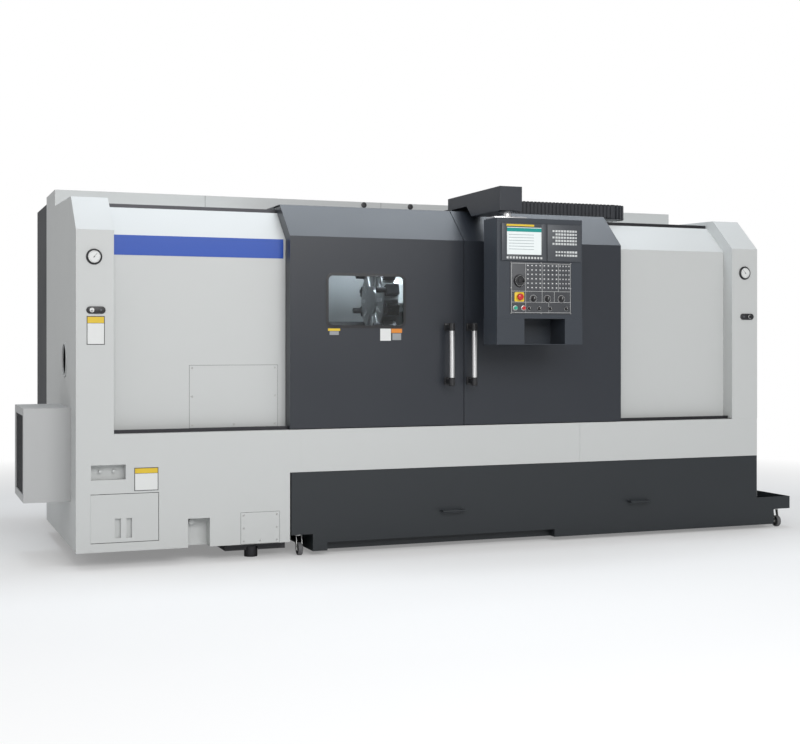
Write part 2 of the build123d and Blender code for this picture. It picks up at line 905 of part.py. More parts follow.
# Left side panel with the bar opening and its ring
side_outline = [(0, skirt_bottom)] + pillar_line
side_outline += [(rear_cover_depth, rear_cover_height), (body_depth, rear_cover_height)]
side_outline += [(body_depth, skirt_bottom)]
with BuildPart() as left_side_panel:
    with BuildSketch(section_plane(0)) as side_shape:
        with BuildLine():
            Polyline(*side_outline, close=True)
        make_face()
        offset(amount=-sheet, kind=Kind.INTERSECTION)
    extrude(side_shape.sketch, amount=sheet)
    rod_x(spindle_centre, bar_opening_radius + bar_ring_width, (-bar_ring_height, 0))
    rod_x(spindle_centre, bar_opening_radius, (-bar_ring_height, sheet), Mode.SUBTRACT)
save(left_side_panel, "left_side_panel")

# Right end cover: pillar, return wall, roof strip and side wall
right_side_outline = [(0, right_side_bottom)] + pillar_line
right_side_outline += [(body_depth, pillar_roof_height), (body_depth, right_side_bottom)]
with BuildPart() as right_end_cover:
    folded_sheet([(0, ledge_height)] + pillar_line, (right_pillar_start, body_length))
    pillar_return(right_pillar_start)
    with BuildSketch(section_plane(body_length - sheet)) as right_side_shape:
        with BuildLine():
            Polyline(*right_side_outline, close=True)
        make_face()
        offset(amount=-sheet, kind=Kind.INTERSECTION)
    extrude(right_side_shape.sketch, amount=sheet)
    strip_x = (rear_cover_right + sheet, body_length)
    strip_z = (pillar_roof_height - sheet, pillar_roof_height)
    block(strip_x, (rear_cover_depth, body_depth), strip_z)
save(right_end_cover, "right_end_cover")

# Lower front panel with its ledge and one seam
with BuildPart() as lower_front_panel:
    panel_sheet = [(0, lower_panel_bottom)] + ledge_line
    folded_sheet(panel_sheet, (left_door_start + upper_panel_overlap, body_length - sheet))
    seam_x = (lower_seam - seam_width / 2, lower_seam + seam_width / 2)
    block(seam_x, (-1, seam_depth), (lower_panel_bottom, ledge_height), Mode.SUBTRACT)
save(lower_front_panel, "lower_front_panel")

# Rear cover: raised top housing and rear wall
with BuildPart() as rear_cover:
    rear_sheet = [(rear_cover_depth, recess_roof_height - sheet), (rear_cover_depth, rear_cover_height)]
    rear_sheet += [(body_depth, rear_cover_height), (body_depth, skirt_bottom)]
    folded_sheet(rear_sheet, (0, rear_cover_right))
    corner_depths = (rear_cover_depth, rear_cover_depth + sheet)
    corner_z = (recess_roof_height - sheet, pillar_roof_height - sheet)
    block((0, sheet), corner_depths, corner_z, Mode.SUBTRACT)
    end_x = (rear_cover_right - sheet, rear_cover_right)
    end_z = (pillar_roof_height, rear_cover_height - sheet)
    block(end_x, (rear_cover_depth + sheet, body_depth - sheet), end_z)
    wall_z = (skirt_bottom, pillar_roof_height - sheet)
    block((rear_cover_right, body_length), (body_depth - sheet, body_depth), wall_z)
save(rear_cover, "rear_cover")

# Roof deck over the door opening, with the tray for the chain's end
deck_z = (deck_top - deck_thickness, deck_top)
deck_x = (left_door_start, right_door_end)
deck_wall_z = (recess_roof_height, deck_z[0])
with BuildPart() as roof_deck:
    block(deck_x, (ridge_depth + deck_front_gap, rear_cover_depth), deck_z)
    for start in (deck_x[0], deck_x[1] - deck_thickness):
        end_wall = (start, start + deck_thickness)
        block(end_wall, (deck_front_wall, rear_cover_depth), deck_wall_z)
    block(deck_x, (deck_front_wall, deck_front_wall + deck_thickness), deck_wall_z)
    block((deck_x[1], deck_x[1] + chain_tray_length), chain_tray_depths, deck_z)
save(roof_deck, "roof_deck")

# Guide rails: two for the doors and two for the pendant beam
door_rail_x = (left_recess_start + rail_end_gap, right_pillar_start - rail_end_gap)
with BuildPart() as guide_rails:
    upper_depths = (upper_rail_depth, upper_rail_depth + upper_rail_width)
    block(door_rail_x, upper_depths, (recess_roof_height, recess_roof_height + upper_rail_height))
    lower_depths = (lower_rail_depth, lower_rail_depth + lower_rail_width)
    block(door_rail_x, lower_depths, (ledge_height, ledge_height + lower_rail_height))
    for depth in trolley_rail_depths:
        block(trolley_rail_x, (depth, depth + trolley_rail_width), (deck_top, rail_top))
save(guide_rails, "guide_rails")


def door_shell(x):
    """A door: front skin and bevel on a welded frame, with grooves for the guide rails."""
    skin_line = [(0, door_bottom), (0, front_fold_height), (ridge_depth, ridge_height)]
    far = door_lip_depth + 2 * door_clearance
    with BuildSketch(section_plane(x[0])) as outline:
        with BuildLine():
            Polyline(*skin_line, (door_lip_depth, ridge_height), (door_lip_depth, door_bottom), close=True)
        make_face()
        with BuildLine():
            low = door_bottom - 4 * door_clearance
            back_line = [(recess_depth - door_clearance, low)]
            back_line.append((recess_depth - door_clearance, recess_fold_height - door_clearance / 3))
            back_line.append((recess_ridge_depth - door_clearance / 3, recess_roof_height + door_clearance))
            Polyline(*back_line, (far, recess_roof_height + door_clearance), (far, low), close=True)
        make_face(mode=Mode.SUBTRACT)
    extrude(outline.sketch, amount=x[1] - x[0])
    block(x, (ridge_depth, door_lip_depth + 1), (door_lip_top, ridge_height + 1), Mode.SUBTRACT)
    hollow = (x[0] + door_stile, x[1] - door_stile)
    with BuildSketch(section_plane(hollow[0])) as inside:
        with BuildLine():
            Polyline(*skin_line, (far, ridge_height), (far, door_bottom), close=True)
        make_face()
        offset(amount=-sheet, kind=Kind.INTERSECTION)
        inside_low = door_bottom + door_rail
        inside_high = ridge_height - door_top_rail
        with Locations((far / 2, (inside_low + inside_high) / 2)):
            Rectangle(far, inside_high - inside_low, mode=Mode.INTERSECT)
    extrude(inside.sketch, amount=hollow[1] - hollow[0], mode=Mode.SUBTRACT)
    upper_groove = (upper_rail_depth - running_gap, upper_rail_depth + upper_rail_width + running_gap)
    upper_groove_top = recess_roof_height + upper_rail_height + running_gap
    block(x, upper_groove, (recess_roof_height, upper_groove_top), Mode.SUBTRACT)
    lower_groove = (lower_rail_depth - running_gap, lower_rail_depth + lower_rail_width + running_gap)
    lower_groove_top = ledge_height + lower_rail_height + running_gap
    block(x, lower_groove, (ledge_height, lower_groove_top), Mode.SUBTRACT)


def window_opening(margin, depth, mode):
    """A block with the window's rounded outline, larger by a margin."""
    with BuildSketch(front_plane(depth[1])) as outline:
        with Locations((sum(window_x) / 2, sum(window_z) / 2)):
            width = window_x[1] - window_x[0] + 2 * margin
            height = window_z[1] - window_z[0] + 2 * margin
            RectangleRounded(width, height, window_corner + margin)
    extrude(outline.sketch, amount=depth[1] - depth[0], mode=mode)


# Left door with its window frame
with BuildPart() as left_door:
    door_shell((left_door_start, left_door_end))
    window_opening(window_frame, (sheet, window_frame_depth), Mode.ADD)
    window_opening(0, (-1, window_frame_depth), Mode.SUBTRACT)
    window_opening(glass_overlap, (glass_depth, window_frame_depth), Mode.SUBTRACT)
save(left_door, "left_door")

# Right door
with BuildPart() as right_door:
    door_shell((right_door_start, right_door_end))
save(right_door, "right_door")

# Window pane, seated against the step of the frame
with BuildPart() as door_window:
    window_opening(glass_overlap - running_gap, (glass_depth, glass_depth + glass_thickness), Mode.ADD)
save(door_window, "door_window")


def door_handle(x):
    """A tube handle between two angled brackets."""
    tube_depth = handle_tube_radius - handle_proud
    rod_z((x, tube_depth), handle_tube_radius, handle_tube_z)
    half = handle_bracket_width / 2
    for low in handle_brackets:
        z = (low, low + handle_bracket_height)
        block((x - half, x + half), (-handle_bracket_thickness, 0), z)
        inset = (z[0] + handle_bracket_thickness, z[1] - handle_bracket_thickness)
        block((x - half / 2, x + half / 2), (tube_depth, -handle_bracket_thickness), inset)


with BuildPart() as left_door_handle:
    door_handle(left_handle_x)
save(left_door_handle, "left_door_handle")
with BuildPart() as right_door_handle:
    door_handle(right_handle_x)
save(right_door_handle, "right_door_handle")

# Pendant beam with shoes that run on the two rails
beam_outline = [
    (beam_front, beam_low),
    (beam_step_depths[0], beam_low),
    (beam_step_depths[1], beam_underside),
    (beam_rear, beam_underside),
    (beam_rear, beam_top),
    (beam_front, beam_top),
]
pivot_centre = (sum(beam_x) / 2, pivot_depth)
shoe_bottom = deck_top + 4 * running_gap
with BuildPart() as trolley_beam:
    long_bar(beam_outline, beam_x)
    tail_bottom = rail_top + running_gap
    tail_z = (tail_bottom, beam_underside + tail_thickness / 2)
    block(beam_x, (trolley_rail_depths[0] - shoe_wall, tail_rear), tail_z)
    for depth in trolley_rail_depths:
        for start in (depth - shoe_wall, depth + trolley_rail_width + running_gap):
            shoe = (start, start + shoe_wall - running_gap)
            block(beam_x, shoe, (shoe_bottom, tail_bottom))
    socket_z = (beam_low, beam_low + pivot_engagement + running_gap)
    rod_z(pivot_centre, pivot_radius + pivot_fit, socket_z, Mode.SUBTRACT)
save(trolley_beam, "trolley_beam")

# Drag chain lying on its side: two runs and the bend, with a raised plate for each link
chain_z = (chain_bottom, chain_bottom + chain_height)
chain_core_z = (chain_z[0] + chain_core_inset, chain_z[1] - chain_core_inset)


def chain_run(x, depth):
    """A straight run of links about a depth."""
    half = chain_width / 2
    core = (depth - half + chain_core_inset, depth + half - chain_core_inset)
    block(x, core, chain_core_z)
    for i in range(int((x[1] - x[0]) / chain_pitch)):
        start = x[1] - (i + 1) * chain_pitch + (chain_pitch - chain_link_length) / 2
        block((start, start + chain_link_length), (depth - half, depth + half), chain_z)


with BuildPart() as drag_chain_front:
    chain_run((beam_x[1], chain_bend_x), chain_front_depth)
save(drag_chain_front, "drag_chain_front")

with BuildPart() as drag_chain_back:
    chain_run((chain_fixed_x, chain_bend_x), chain_back_depth)
    clamp = (chain_fixed_x - chain_clamp_length, chain_fixed_x)
    clamp_depths = (chain_back_depth - chain_width / 2, chain_back_depth + chain_width / 2)
    block(clamp, clamp_depths, (deck_top, chain_z[1]))
save(drag_chain_back, "drag_chain_back")

# Bend of the chain: half a ring with link plates round it
bend_links = int(pi * chain_bend_radius / chain_pitch)
bend_centre = (chain_bend_x, chain_front_depth + chain_bend_radius)


def bend_sector(outer, inner, start, sweep, z):
    """A part of a ring about the bend's centre, from a start angle through a sweep."""
    with BuildSketch(floor_plane(z[0])) as outline:
        with BuildLine():
            rim = CenterArc(bend_centre, outer, start, sweep)
            hub = CenterArc(bend_centre, inner, start, sweep)
            Line(rim @ 0, hub @ 0)
            Line(rim @ 1, hub @ 1)
        make_face()
    extrude(outline.sketch, amount=z[1] - z[0])


with BuildPart() as drag_chain_bend:
    core_half = chain_width / 2 - chain_core_inset
    core_outer = chain_bend_radius + core_half
    bend_sector(core_outer, chain_bend_radius - core_half, -90, 180, chain_core_z)
    plate_outer = chain_bend_radius + chain_width / 2
    sweep = 180 / bend_links
    plate_sweep = sweep * chain_link_length / chain_pitch
    for i in range(bend_links):
        start = -90 + i * sweep + (sweep - plate_sweep) / 2
        bend_sector(plate_outer, chain_bend_radius - chain_width / 2, start, plate_sweep, chain_z)
save(drag_chain_bend, "drag_chain_bend")

# Pendant housing with its pivot and the cavity behind the switch panel
with BuildPart() as pendant_box:
    block(pendant_x, pendant_depths, pendant_z)
    fillet(pendant_box.edges().filter_by(Axis.Z), pendant_edge)
    cavity = (pendant_depths[0] - 1, pendant_depths[0] + pendant_cavity_depth)
    block(pendant_cavity_x, cavity, pendant_cavity_z, Mode.SUBTRACT)
    flange_top = pendant_z[1] + pivot_flange_height
    rod_z(pivot_centre, pivot_flange_radius, (pendant_z[1], flange_top))
    rod_z(pivot_centre, pivot_radius, (flange_top, beam_low + pivot_engagement))
    cap_top = beam_low - running_gap
    rod_z(pivot_centre, pivot_cap_radius, (cap_top - pivot_cap_height, cap_top))
save(pendant_box, "pendant_box")

# Shelf under the pendant with one open compartment
with BuildPart() as pendant_shelf:
    block(pendant_x, pendant_depths, (shelf_bottom, pendant_z[0]))
    space_depths = (pendant_depths[0] - 1, pendant_depths[1] - shelf_back)
    space_z = (shelf_bottom + shelf_floor, pendant_z[0])
    block(shelf_space_x, space_depths, space_z, Mode.SUBTRACT)
save(pendant_shelf, "pendant_shelf")

# Screen unit and keypad unit
unit_front = pendant_depths[0] - unit_thickness
with BuildPart() as control_units:
    unit_depths = (unit_front, pendant_depths[0])
    block(screen_x, unit_depths, unit_z)
    block(keypad_x, unit_depths, unit_z)
    screen_hole_x = (screen_x[0] + screen_margin[0], screen_x[1] - screen_margin[0])
    screen_hole_z = (unit_z[0] + screen_margin[1], unit_z[1] - screen_margin[1])
    screen_hole_depths = (unit_front, unit_front + screen_recess)
    block(screen_hole_x, screen_hole_depths, screen_hole_z, Mode.SUBTRACT)
    key_plane = front_plane(unit_front)
    with BuildSketch(key_plane) as keys:
        with Locations((sum(keypad_x) / 2, sum(unit_z) / 2)):
            with GridLocations(key_pitch, key_pitch, keypad_columns, keypad_rows):
                Rectangle(key_size, key_size)
    extrude(keys.sketch, amount=key_height)
save(control_units, "control_units")

# Switch panel with fixed knobs, the key field and holes for the moving controls
panel_front = pendant_depths[0] - panel_thickness
with BuildPart() as switch_panel:
    panel_depths = (panel_front, pendant_depths[0])
    block(panel_x, panel_depths, panel_z)
    collar = (panel_front - emergency_collar_thickness, panel_front)
    rod_y(emergency_place, emergency_collar_radius, collar)
    for place in override_places:
        rod_y(place, override_radius, (panel_front - override_length, panel_front))
    for place in small_knob_places:
        rod_y(place, small_knob_radius, (panel_front - small_knob_length, panel_front))
    with BuildSketch(front_plane(panel_front)) as mode_keys:
        with Locations((mode_key_x, mode_key_z - mode_key_pitch[1])):
            with GridLocations(mode_key_pitch[0], mode_key_pitch[1], mode_key_columns, mode_key_rows):
                Rectangle(*mode_key_size)
    extrude(mode_keys.sketch, amount=key_height)
    through = (collar[0], pendant_depths[0])
    rod_y(emergency_place, emergency_stem_radius + stem_gap, through, Mode.SUBTRACT)
    rod_y(handwheel_place, handwheel_shaft_radius + stem_gap, through, Mode.SUBTRACT)
    for place in (start_place, stop_place):
        rod_y(place, push_stem_radius + stem_gap, through, Mode.SUBTRACT)
save(switch_panel, "switch_panel")

# Emergency stop: a mushroom head on its stem
stem_end = pendant_depths[0] + stem_length
with BuildPart() as emergency_stop:
    head_back = collar[0] - emergency_travel - running_gap
    rod_y(emergency_place, emergency_head_radius, (head_back - emergency_head_length, head_back))
    fillet(emergency_stop.faces().sort_by(Axis.Y)[0].edges(), emergency_head_length / 3)
    rod_y(emergency_place, emergency_stem_radius, (head_back, stem_end))
save(emergency_stop, "emergency_stop")

# Handwheel with a crank grip
with BuildPart() as handwheel:
    wheel_back = panel_front - running_gap
    rod_y(handwheel_place, handwheel_radius, (wheel_back - handwheel_thickness, wheel_back))
    rod_y(handwheel_place, handwheel_shaft_radius, (wheel_back, stem_end))
    grip_offset = handwheel_radius - 2 * handwheel_grip_radius
    grip_place = (handwheel_place[0] + grip_offset, handwheel_place[1])
    grip_back = wheel_back - handwheel_thickness
    rod_y(grip_place, handwheel_grip_radius, (grip_back - handwheel_hub_radius, grip_back))
save(handwheel, "handwheel")


def push_button(place):
    """A round button cap on a stem, clear of the panel by its travel."""
    cap_back = panel_front - push_travel - running_gap
    rod_y(place, push_radius, (cap_back - push_length, cap_back))
    rod_y(place, push_stem_radius, (cap_back, stem_end))


with BuildPart() as start_button:
    push_button(start_place)
save(start_button, "start_button")
with BuildPart() as stop_button:
    push_button(stop_place)
save(stop_button, "stop_button")

# Coolant tank: a welded tub with its sump, tray, toe notch and pull handles
caster_top = step_height - caster_plate_thickness
fork_disc_top = caster_top - running_gap
fork_disc_bottom = fork_disc_top - fork_disc_thickness


def fork_and_axle(x, depth):
    """A caster's fork with its disc, cheeks and axle; the wheel trails towards the front."""
    axle_depth = depth - caster_trail
    rod_z((x, depth), fork_disc_radius, (fork_disc_bottom, fork_disc_top))
    inner = wheel_width / 2 + fork_gap
    for side in (-1, 1):
        near = x + side * inner
        far = x + side * (inner + fork_cheek)
        with BuildSketch(section_plane(min(near, far))) as cheek:
            with BuildLine():
                rear = depth + fork_disc_radius / 2
                low = wheel_radius - 2 * axle_radius
                front = axle_depth - 2 * axle_radius
                Polyline((front, low), (axle_depth + 2 * axle_radius, low), (rear, fork_disc_bottom),
                         (depth - fork_disc_radius / 2, fork_disc_bottom), close=True)
            make_face()
        extrude(cheek.sketch, amount=fork_cheek)
    rod_x((axle_depth, wheel_radius), axle_radius, (x - inner - fork_cheek, x + inner + fork_cheek))


def caster_wheel(x, depth):
    """A caster's wheel with a rounded tread."""
    span = (x - wheel_width / 2, x + wheel_width / 2)
    rod_x((depth - caster_trail, wheel_radius), wheel_radius, span)


with BuildPart() as coolant_tank:
    tank_depths = (0, tank_depth)
    block(tank_x, tank_depths, (step_height, tank_top))
    block(sump_x, tank_depths, (sump_bottom, tray_height))
    block((tank_x[1], tray_right), tank_depths, (step_height, tray_height))
    inner_depths = (tank_wall, tank_depth - tank_wall)
    tub_x = (tank_x[0] + tank_wall, tank_x[1] - tank_wall)
    block(tub_x, inner_depths, (step_height + tank_wall, tank_top + 1), Mode.SUBTRACT)
    inner_sump_x = (sump_x[0] + tank_wall, sump_x[1] - tank_wall)
    inner_sump_z = (sump_bottom + tank_wall, tray_height - tank_wall)
    block(inner_sump_x, inner_depths, inner_sump_z, Mode.SUBTRACT)
    tray_x = (tank_x[1], tray_right - tank_wall)
    block(tray_x, inner_depths, (step_height + tank_wall, tray_height + 1), Mode.SUBTRACT)
    toe_wall_x = (toe_x[0] - tank_wall, toe_x[1] + tank_wall)
    block(toe_wall_x, (tank_wall, toe_depth + tank_wall), (sump_bottom, toe_height + tank_wall))
    block(toe_x, (-1, toe_depth), (sump_bottom - 1, toe_height), Mode.SUBTRACT)
    for middle in tank_handles_x:
        ends = (middle - tank_handle_width / 2, middle + tank_handle_width / 2)
        for end in ends:
            rod_y((end, tank_handle_z), tank_handle_radius, (-tank_handle_proud, 0))
        grip = (ends[0] - tank_handle_radius, ends[1] + tank_handle_radius)
        rod_x((-tank_handle_proud, tank_handle_z), tank_handle_radius, grip)
    for x in caster_places_x:
        pad = (x - caster_plate_half, x + caster_plate_half)
        for depth in (front_caster_depth, rear_caster_depth):
            pad_depths = (depth - caster_plate_half, depth + caster_plate_half)
            block(pad, pad_depths, (caster_top, step_height))
        rod_z((x, rear_caster_depth), axle_radius, (fork_disc_bottom, caster_top))
        fork_and_axle(x, rear_caster_depth)
        caster_wheel(x, rear_caster_depth)
save(coolant_tank, "coolant_tank")

# Front casters: a fork and a wheel each
for side, x in zip(("left", "right"), caster_places_x):
    with BuildPart() as caster_fork:
        fork_and_axle(x, front_caster_depth)
    save(caster_fork, side + "_caster_fork")
    with BuildPart() as wheel:
        caster_wheel(x, front_caster_depth)
        chamfer(wheel.edges().filter_by(GeomType.CIRCLE), wheel_edge)
        hole = (x - wheel_width / 2, x + wheel_width / 2)
        hole_centre = (front_caster_depth - caster_trail, wheel_radius)
        rod_x(hole_centre, axle_radius + axle_fit, hole, Mode.SUBTRACT)
    save(wheel, side + "_caster_wheel")

# Oil cooler: a box with a framed, louvred face
cooler_x = (-cooler_length, 0)
with BuildPart() as oil_cooler:
    block(cooler_x, cooler_depths, cooler_z)
    face_depths = (cooler_depths[0] + cooler_frame, cooler_depths[1] - cooler_frame)
    face_z = (cooler_z[0] + cooler_frame, cooler_z[1] - cooler_frame)
    block((cooler_x[0], cooler_x[0] + cooler_recess), face_depths, face_z, Mode.SUBTRACT)
    louvre_pitch = (face_z[1] - face_z[0]) / louvre_count
    for i in range(louvre_count):
        low = face_z[0] + (i + 0.5) * louvre_pitch - louvre_thickness / 2
        louvre_x = (cooler_x[0] + cooler_recess - louvre_width, cooler_x[0] + cooler_recess)
        block(louvre_x, face_depths, (low, low + louvre_thickness))
save(oil_cooler, "oil_cooler")

# Electrical cabinet, open to the back
cabinet_back = body_depth + cabinet_depth
shell_back = cabinet_back - cabinet_door_thickness - cabinet_door_gap
with BuildPart() as electrical_cabinet:
    block((0, cabinet_length), (body_depth, shell_back), cabinet_z)
    inner_z = (cabinet_z[0] + sheet, cabinet_z[1] - sheet)
    inner_depths = (body_depth + sheet, shell_back + 1)
    block((sheet, cabinet_length - sheet), inner_depths, inner_z, Mode.SUBTRACT)
save(electrical_cabinet, "electrical_cabinet")

# Cabinet door: a tray with its swing handle
with BuildPart() as cabinet_door:
    door_depths = (cabinet_back - cabinet_door_thickness, cabinet_back)
    block((0, cabinet_length), door_depths, cabinet_z)
    tray_depths = (door_depths[0] - 1, cabinet_back - sheet)
    tray_x = (cabinet_door_thickness, cabinet_length - cabinet_door_thickness)
    tray_z = (cabinet_z[0] + cabinet_door_thickness, cabinet_z[1] - cabinet_door_thickness)
    block(tray_x, tray_depths, tray_z, Mode.SUBTRACT)
    handle_x = (cabinet_handle_inset, cabinet_handle_inset + cabinet_handle_width)
    handle_depths = (cabinet_back, cabinet_back + cabinet_handle_proud)
    block(handle_x, handle_depths, cabinet_handle_z)
save(cabinet_door, "cabinet_door")

# Drives on their mounting plate inside the cabinet
with BuildPart() as drive_rack:
    plate_back = body_depth + sheet
    plate_front = plate_back + drive_plate_thickness
    plate_x = (drive_plate_margin, cabinet_length - drive_plate_margin)
    plate_z = (cabinet_z[0] + drive_plate_margin, cabinet_z[1] - drive_plate_margin)
    block(plate_x, (plate_back, plate_front), plate_z)
    for row in range(drive_rows):
        middle_z = sum(cabinet_z) / 2 + (row - (drive_rows - 1) / 2) * drive_pitch[1]
        for column in range(drive_columns):
            middle_x = cabinet_length / 2 + (column - (drive_columns - 1) / 2) * drive_pitch[0]
            drive_x = (middle_x - drive_size[0] / 2, middle_x + drive_size[0] / 2)
            drive_z = (middle_z - drive_size[2] / 2, middle_z + drive_size[2] / 2)
            block(drive_x, (plate_front, plate_front + drive_size[1]), drive_z)
save(drive_rack, "drive_rack")

# Hydraulic unit: oil tank with a pump motor and a valve block on top
with BuildPart() as hydraulic_unit:
    tank_z = (hydraulic_shelf_top, hydraulic_shelf_top + hydraulic_tank_height)
    block(hydraulic_x, hydraulic_depths, tank_z)
    pump_centre = (sum(hydraulic_depths) / 2, tank_z[1] + pump_radius)
    pump_start = hydraulic_x[0] + valve_size[0]
    rod_x(pump_centre, pump_radius, (pump_start, pump_start + pump_length))
    cradle = (pump_centre[0] - pump_radius / 2, pump_centre[0] + pump_radius / 2)
    block((pump_start, pump_start + pump_length), cradle, (tank_z[1], pump_centre[1]))
    valve_x = (hydraulic_x[1] - valve_size[0], hydraulic_x[1])
    valve_depths = (hydraulic_depths[0], hydraulic_depths[0] + valve_size[1])
    block(valve_x, valve_depths, (tank_z[1], tank_z[1] + valve_size[2]))
save(hydraulic_unit, "hydraulic_unit")

# Service door with two slots
with BuildPart() as service_door:
    block(service_door_x, (0, sheet), service_door_z)
    rim_x = (service_door_x[0] + sheet, service_door_x[1] - sheet)
    rim_z = (service_door_z[0] + sheet, service_door_z[1] - sheet)
    block(rim_x, (sheet, service_door_thickness), rim_z)
    inner_x = (rim_x[0] + sheet, rim_x[1] - sheet)
    inner_z = (rim_z[0] + sheet, rim_z[1] - sheet)
    block(inner_x, (sheet, service_door_thickness), inner_z, Mode.SUBTRACT)
    for slot_x in service_slot_x:
        block(slot_x, (-1, sheet + 1), service_slot_z, Mode.SUBTRACT)
    hinge_x = (service_door_x[0] - service_door_gap + running_gap, service_door_x[0])
    block(hinge_x, (0, sheet), service_door_z)
save(service_door, "service_door")

# Plates on the front: blue band, two blank plates and two screwed access panels
with BuildPart() as front_plates:
    recess_plate = (recess_depth - plate_thickness, recess_depth)
    front_plate = (-plate_thickness, 0)
    block((left_recess_start, band_right), recess_plate, band_z)
    block(recess_cover_x, recess_plate, recess_cover_z)
    block(pillar_plate_x, front_plate, pillar_plate_z)
    block(lower_plate_x, front_plate, lower_plate_z)
    block(skirt_cover_x, front_plate, skirt_cover_z)
save(front_plates, "front_plates")

# Pressure gauges on both pillars
with BuildPart() as pressure_gauges:
    for place in gauge_places:
        rod_y(place, gauge_radius, (-gauge_depth, 0))
        dial_depths = (-gauge_depth, gauge_face_recess - gauge_depth)
        rod_y(place, gauge_radius - gauge_bezel, dial_depths, Mode.SUBTRACT)
save(pressure_gauges, "pressure_gauges")

# Oval plates with a key and a knob
with BuildPart() as oval_plates:
    with BuildSketch(front_plane(0)) as ovals:
        with Locations(*oval_places):
            SlotOverall(oval_length, oval_height)
    extrude(ovals.sketch, amount=oval_thickness)
    for side, place in zip((-1, 1), oval_places):
        knob_place = (place[0] + side * oval_knob_offset, place[1])
        knob_depths = (-oval_thickness - oval_knob_length, -oval_thickness)
        rod_y(knob_place, oval_knob_radius, knob_depths)
save(oval_plates, "oval_plates")
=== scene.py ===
"""Looks of the turning lathe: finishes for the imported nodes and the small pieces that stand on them."""

import logging
import math
from dataclasses import dataclass
from enum import Enum
from typing import Sequence

import bmesh
import bpy
from mathutils import Matrix, Vector


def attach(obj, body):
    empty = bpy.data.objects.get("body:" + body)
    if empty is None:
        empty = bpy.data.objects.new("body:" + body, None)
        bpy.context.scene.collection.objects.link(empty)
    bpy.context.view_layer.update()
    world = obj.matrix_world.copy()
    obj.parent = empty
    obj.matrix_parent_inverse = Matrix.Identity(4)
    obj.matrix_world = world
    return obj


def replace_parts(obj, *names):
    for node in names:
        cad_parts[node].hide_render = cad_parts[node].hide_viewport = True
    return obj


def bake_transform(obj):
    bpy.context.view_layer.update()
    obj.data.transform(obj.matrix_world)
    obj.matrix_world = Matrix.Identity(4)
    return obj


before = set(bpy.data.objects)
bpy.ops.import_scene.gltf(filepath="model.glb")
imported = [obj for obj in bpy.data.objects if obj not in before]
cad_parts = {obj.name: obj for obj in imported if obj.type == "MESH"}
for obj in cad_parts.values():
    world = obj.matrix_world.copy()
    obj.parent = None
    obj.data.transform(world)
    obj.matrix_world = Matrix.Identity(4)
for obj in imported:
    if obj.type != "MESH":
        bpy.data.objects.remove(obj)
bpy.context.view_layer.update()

LOG = logging.getLogger("lathe")

# The row frame's place of the enclosure's left side and of its front plane
LEFT_SIDE = -2.2315
FRONT_PLANE = -0.835

Colour = tuple[float, float, float]
Point = tuple[float, float, float]

# Left, right, lowest and highest place of an upright field
Span = tuple[float, float, float, float]

# Radii of a turned form and their distances along its axis
Profile = Sequence[tuple[float, float]]


def at(x: float, depth: float, z: float) -> Vector:
    """A point in the row frame.

    Args:
        x: Distance from the enclosure's left side.
        depth: Distance behind the front plane.
        z: Height over the floor.

    Returns:
        The point as a vector.
    """
    return Vector((LEFT_SIDE + x, FRONT_PLANE + depth, z))


class Facing(Enum):
    """Direction that a round piece points to."""

    FRONT = (0.0, -1.0, 0.0)
    LEFT = (-1.0, 0.0, 0.0)
    RIGHT = (1.0, 0.0, 0.0)
    UP = (0.0, 0.0, 1.0)

    def matrix(self, place: Vector) -> Matrix:
        """Turns +Z to this direction and moves the origin to a place."""
        turn = Vector((0, 0, 1)).rotation_difference(Vector(self.value))
        return Matrix.Translation(place) @ turn.to_matrix().to_4x4()


# Shaders


class Signal:
    """A shader number that can be used in Python sums."""

    def __init__(self, tree: bpy.types.NodeTree, socket: bpy.types.NodeSocket) -> None:
        """Keeps the node tree and the socket that carries the number."""
        self.tree = tree
        self.socket = socket

    def maths(self, operation: str, first: object, second: object = 0.0, clamp: bool = False) -> "Signal":
        """Adds a Math node.

        Args:
            operation: The node's operation.
            first: A signal or a number.
            second: A signal or a number.
            clamp: Whether the result is kept between 0 and 1.

        Returns:
            The node's result.
        """
        node = self.tree.nodes.new("ShaderNodeMath")
        node.operation = operation
        node.use_clamp = clamp
        for socket, value in zip(node.inputs, (first, second)):
            if isinstance(value, Signal):
                self.tree.links.new(value.socket, socket)
            else:
                socket.default_value = float(value)
        return Signal(self.tree, node.outputs[0])

    def __add__(self, other: object) -> "Signal":
        """Sum of two numbers."""
        return self.maths("ADD", self, other)

    def __sub__(self, other: object) -> "Signal":
        """Difference of two numbers."""
        return self.maths("SUBTRACT", self, other)

    def __rsub__(self, other: object) -> "Signal":
        """Difference, with this number taken away."""
        return self.maths("SUBTRACT", other, self)

    def __mul__(self, other: object) -> "Signal":
        """Product of two numbers."""
        return self.maths("MULTIPLY", self, other)

    def __truediv__(self, other: object) -> "Signal":
        """Quotient of two numbers."""
        return self.maths("DIVIDE", self, other)

    def clamped(self) -> "Signal":
        """This number kept between 0 and 1."""
        return self.maths("ADD", self, 0.0, clamp=True)

    __radd__ = __add__
    __rmul__ = __mul__


def add_node(
    tree: bpy.types.NodeTree, kind: str, settings: dict | None = None, inputs: dict | None = None
) -> bpy.types.Node:
    """Adds a node to a shader or geometry tree.

    Args:
        tree: The tree.
        kind: The node's type.
        settings: Its properties, set before its sockets.
        inputs: Values or links of its sockets, by name or by place.

    Returns:
        The new node.
    """
    node = tree.nodes.new(kind)
    for key, value in (settings or {}).items():
        setattr(node, key, value)
    for key, value in (inputs or {}).items():
        source = value.socket if isinstance(value, Signal) else value
        if isinstance(source, bpy.types.NodeSocket):
            tree.links.new(source, node.inputs[key])
        else:
            node.inputs[key].default_value = source
    return node


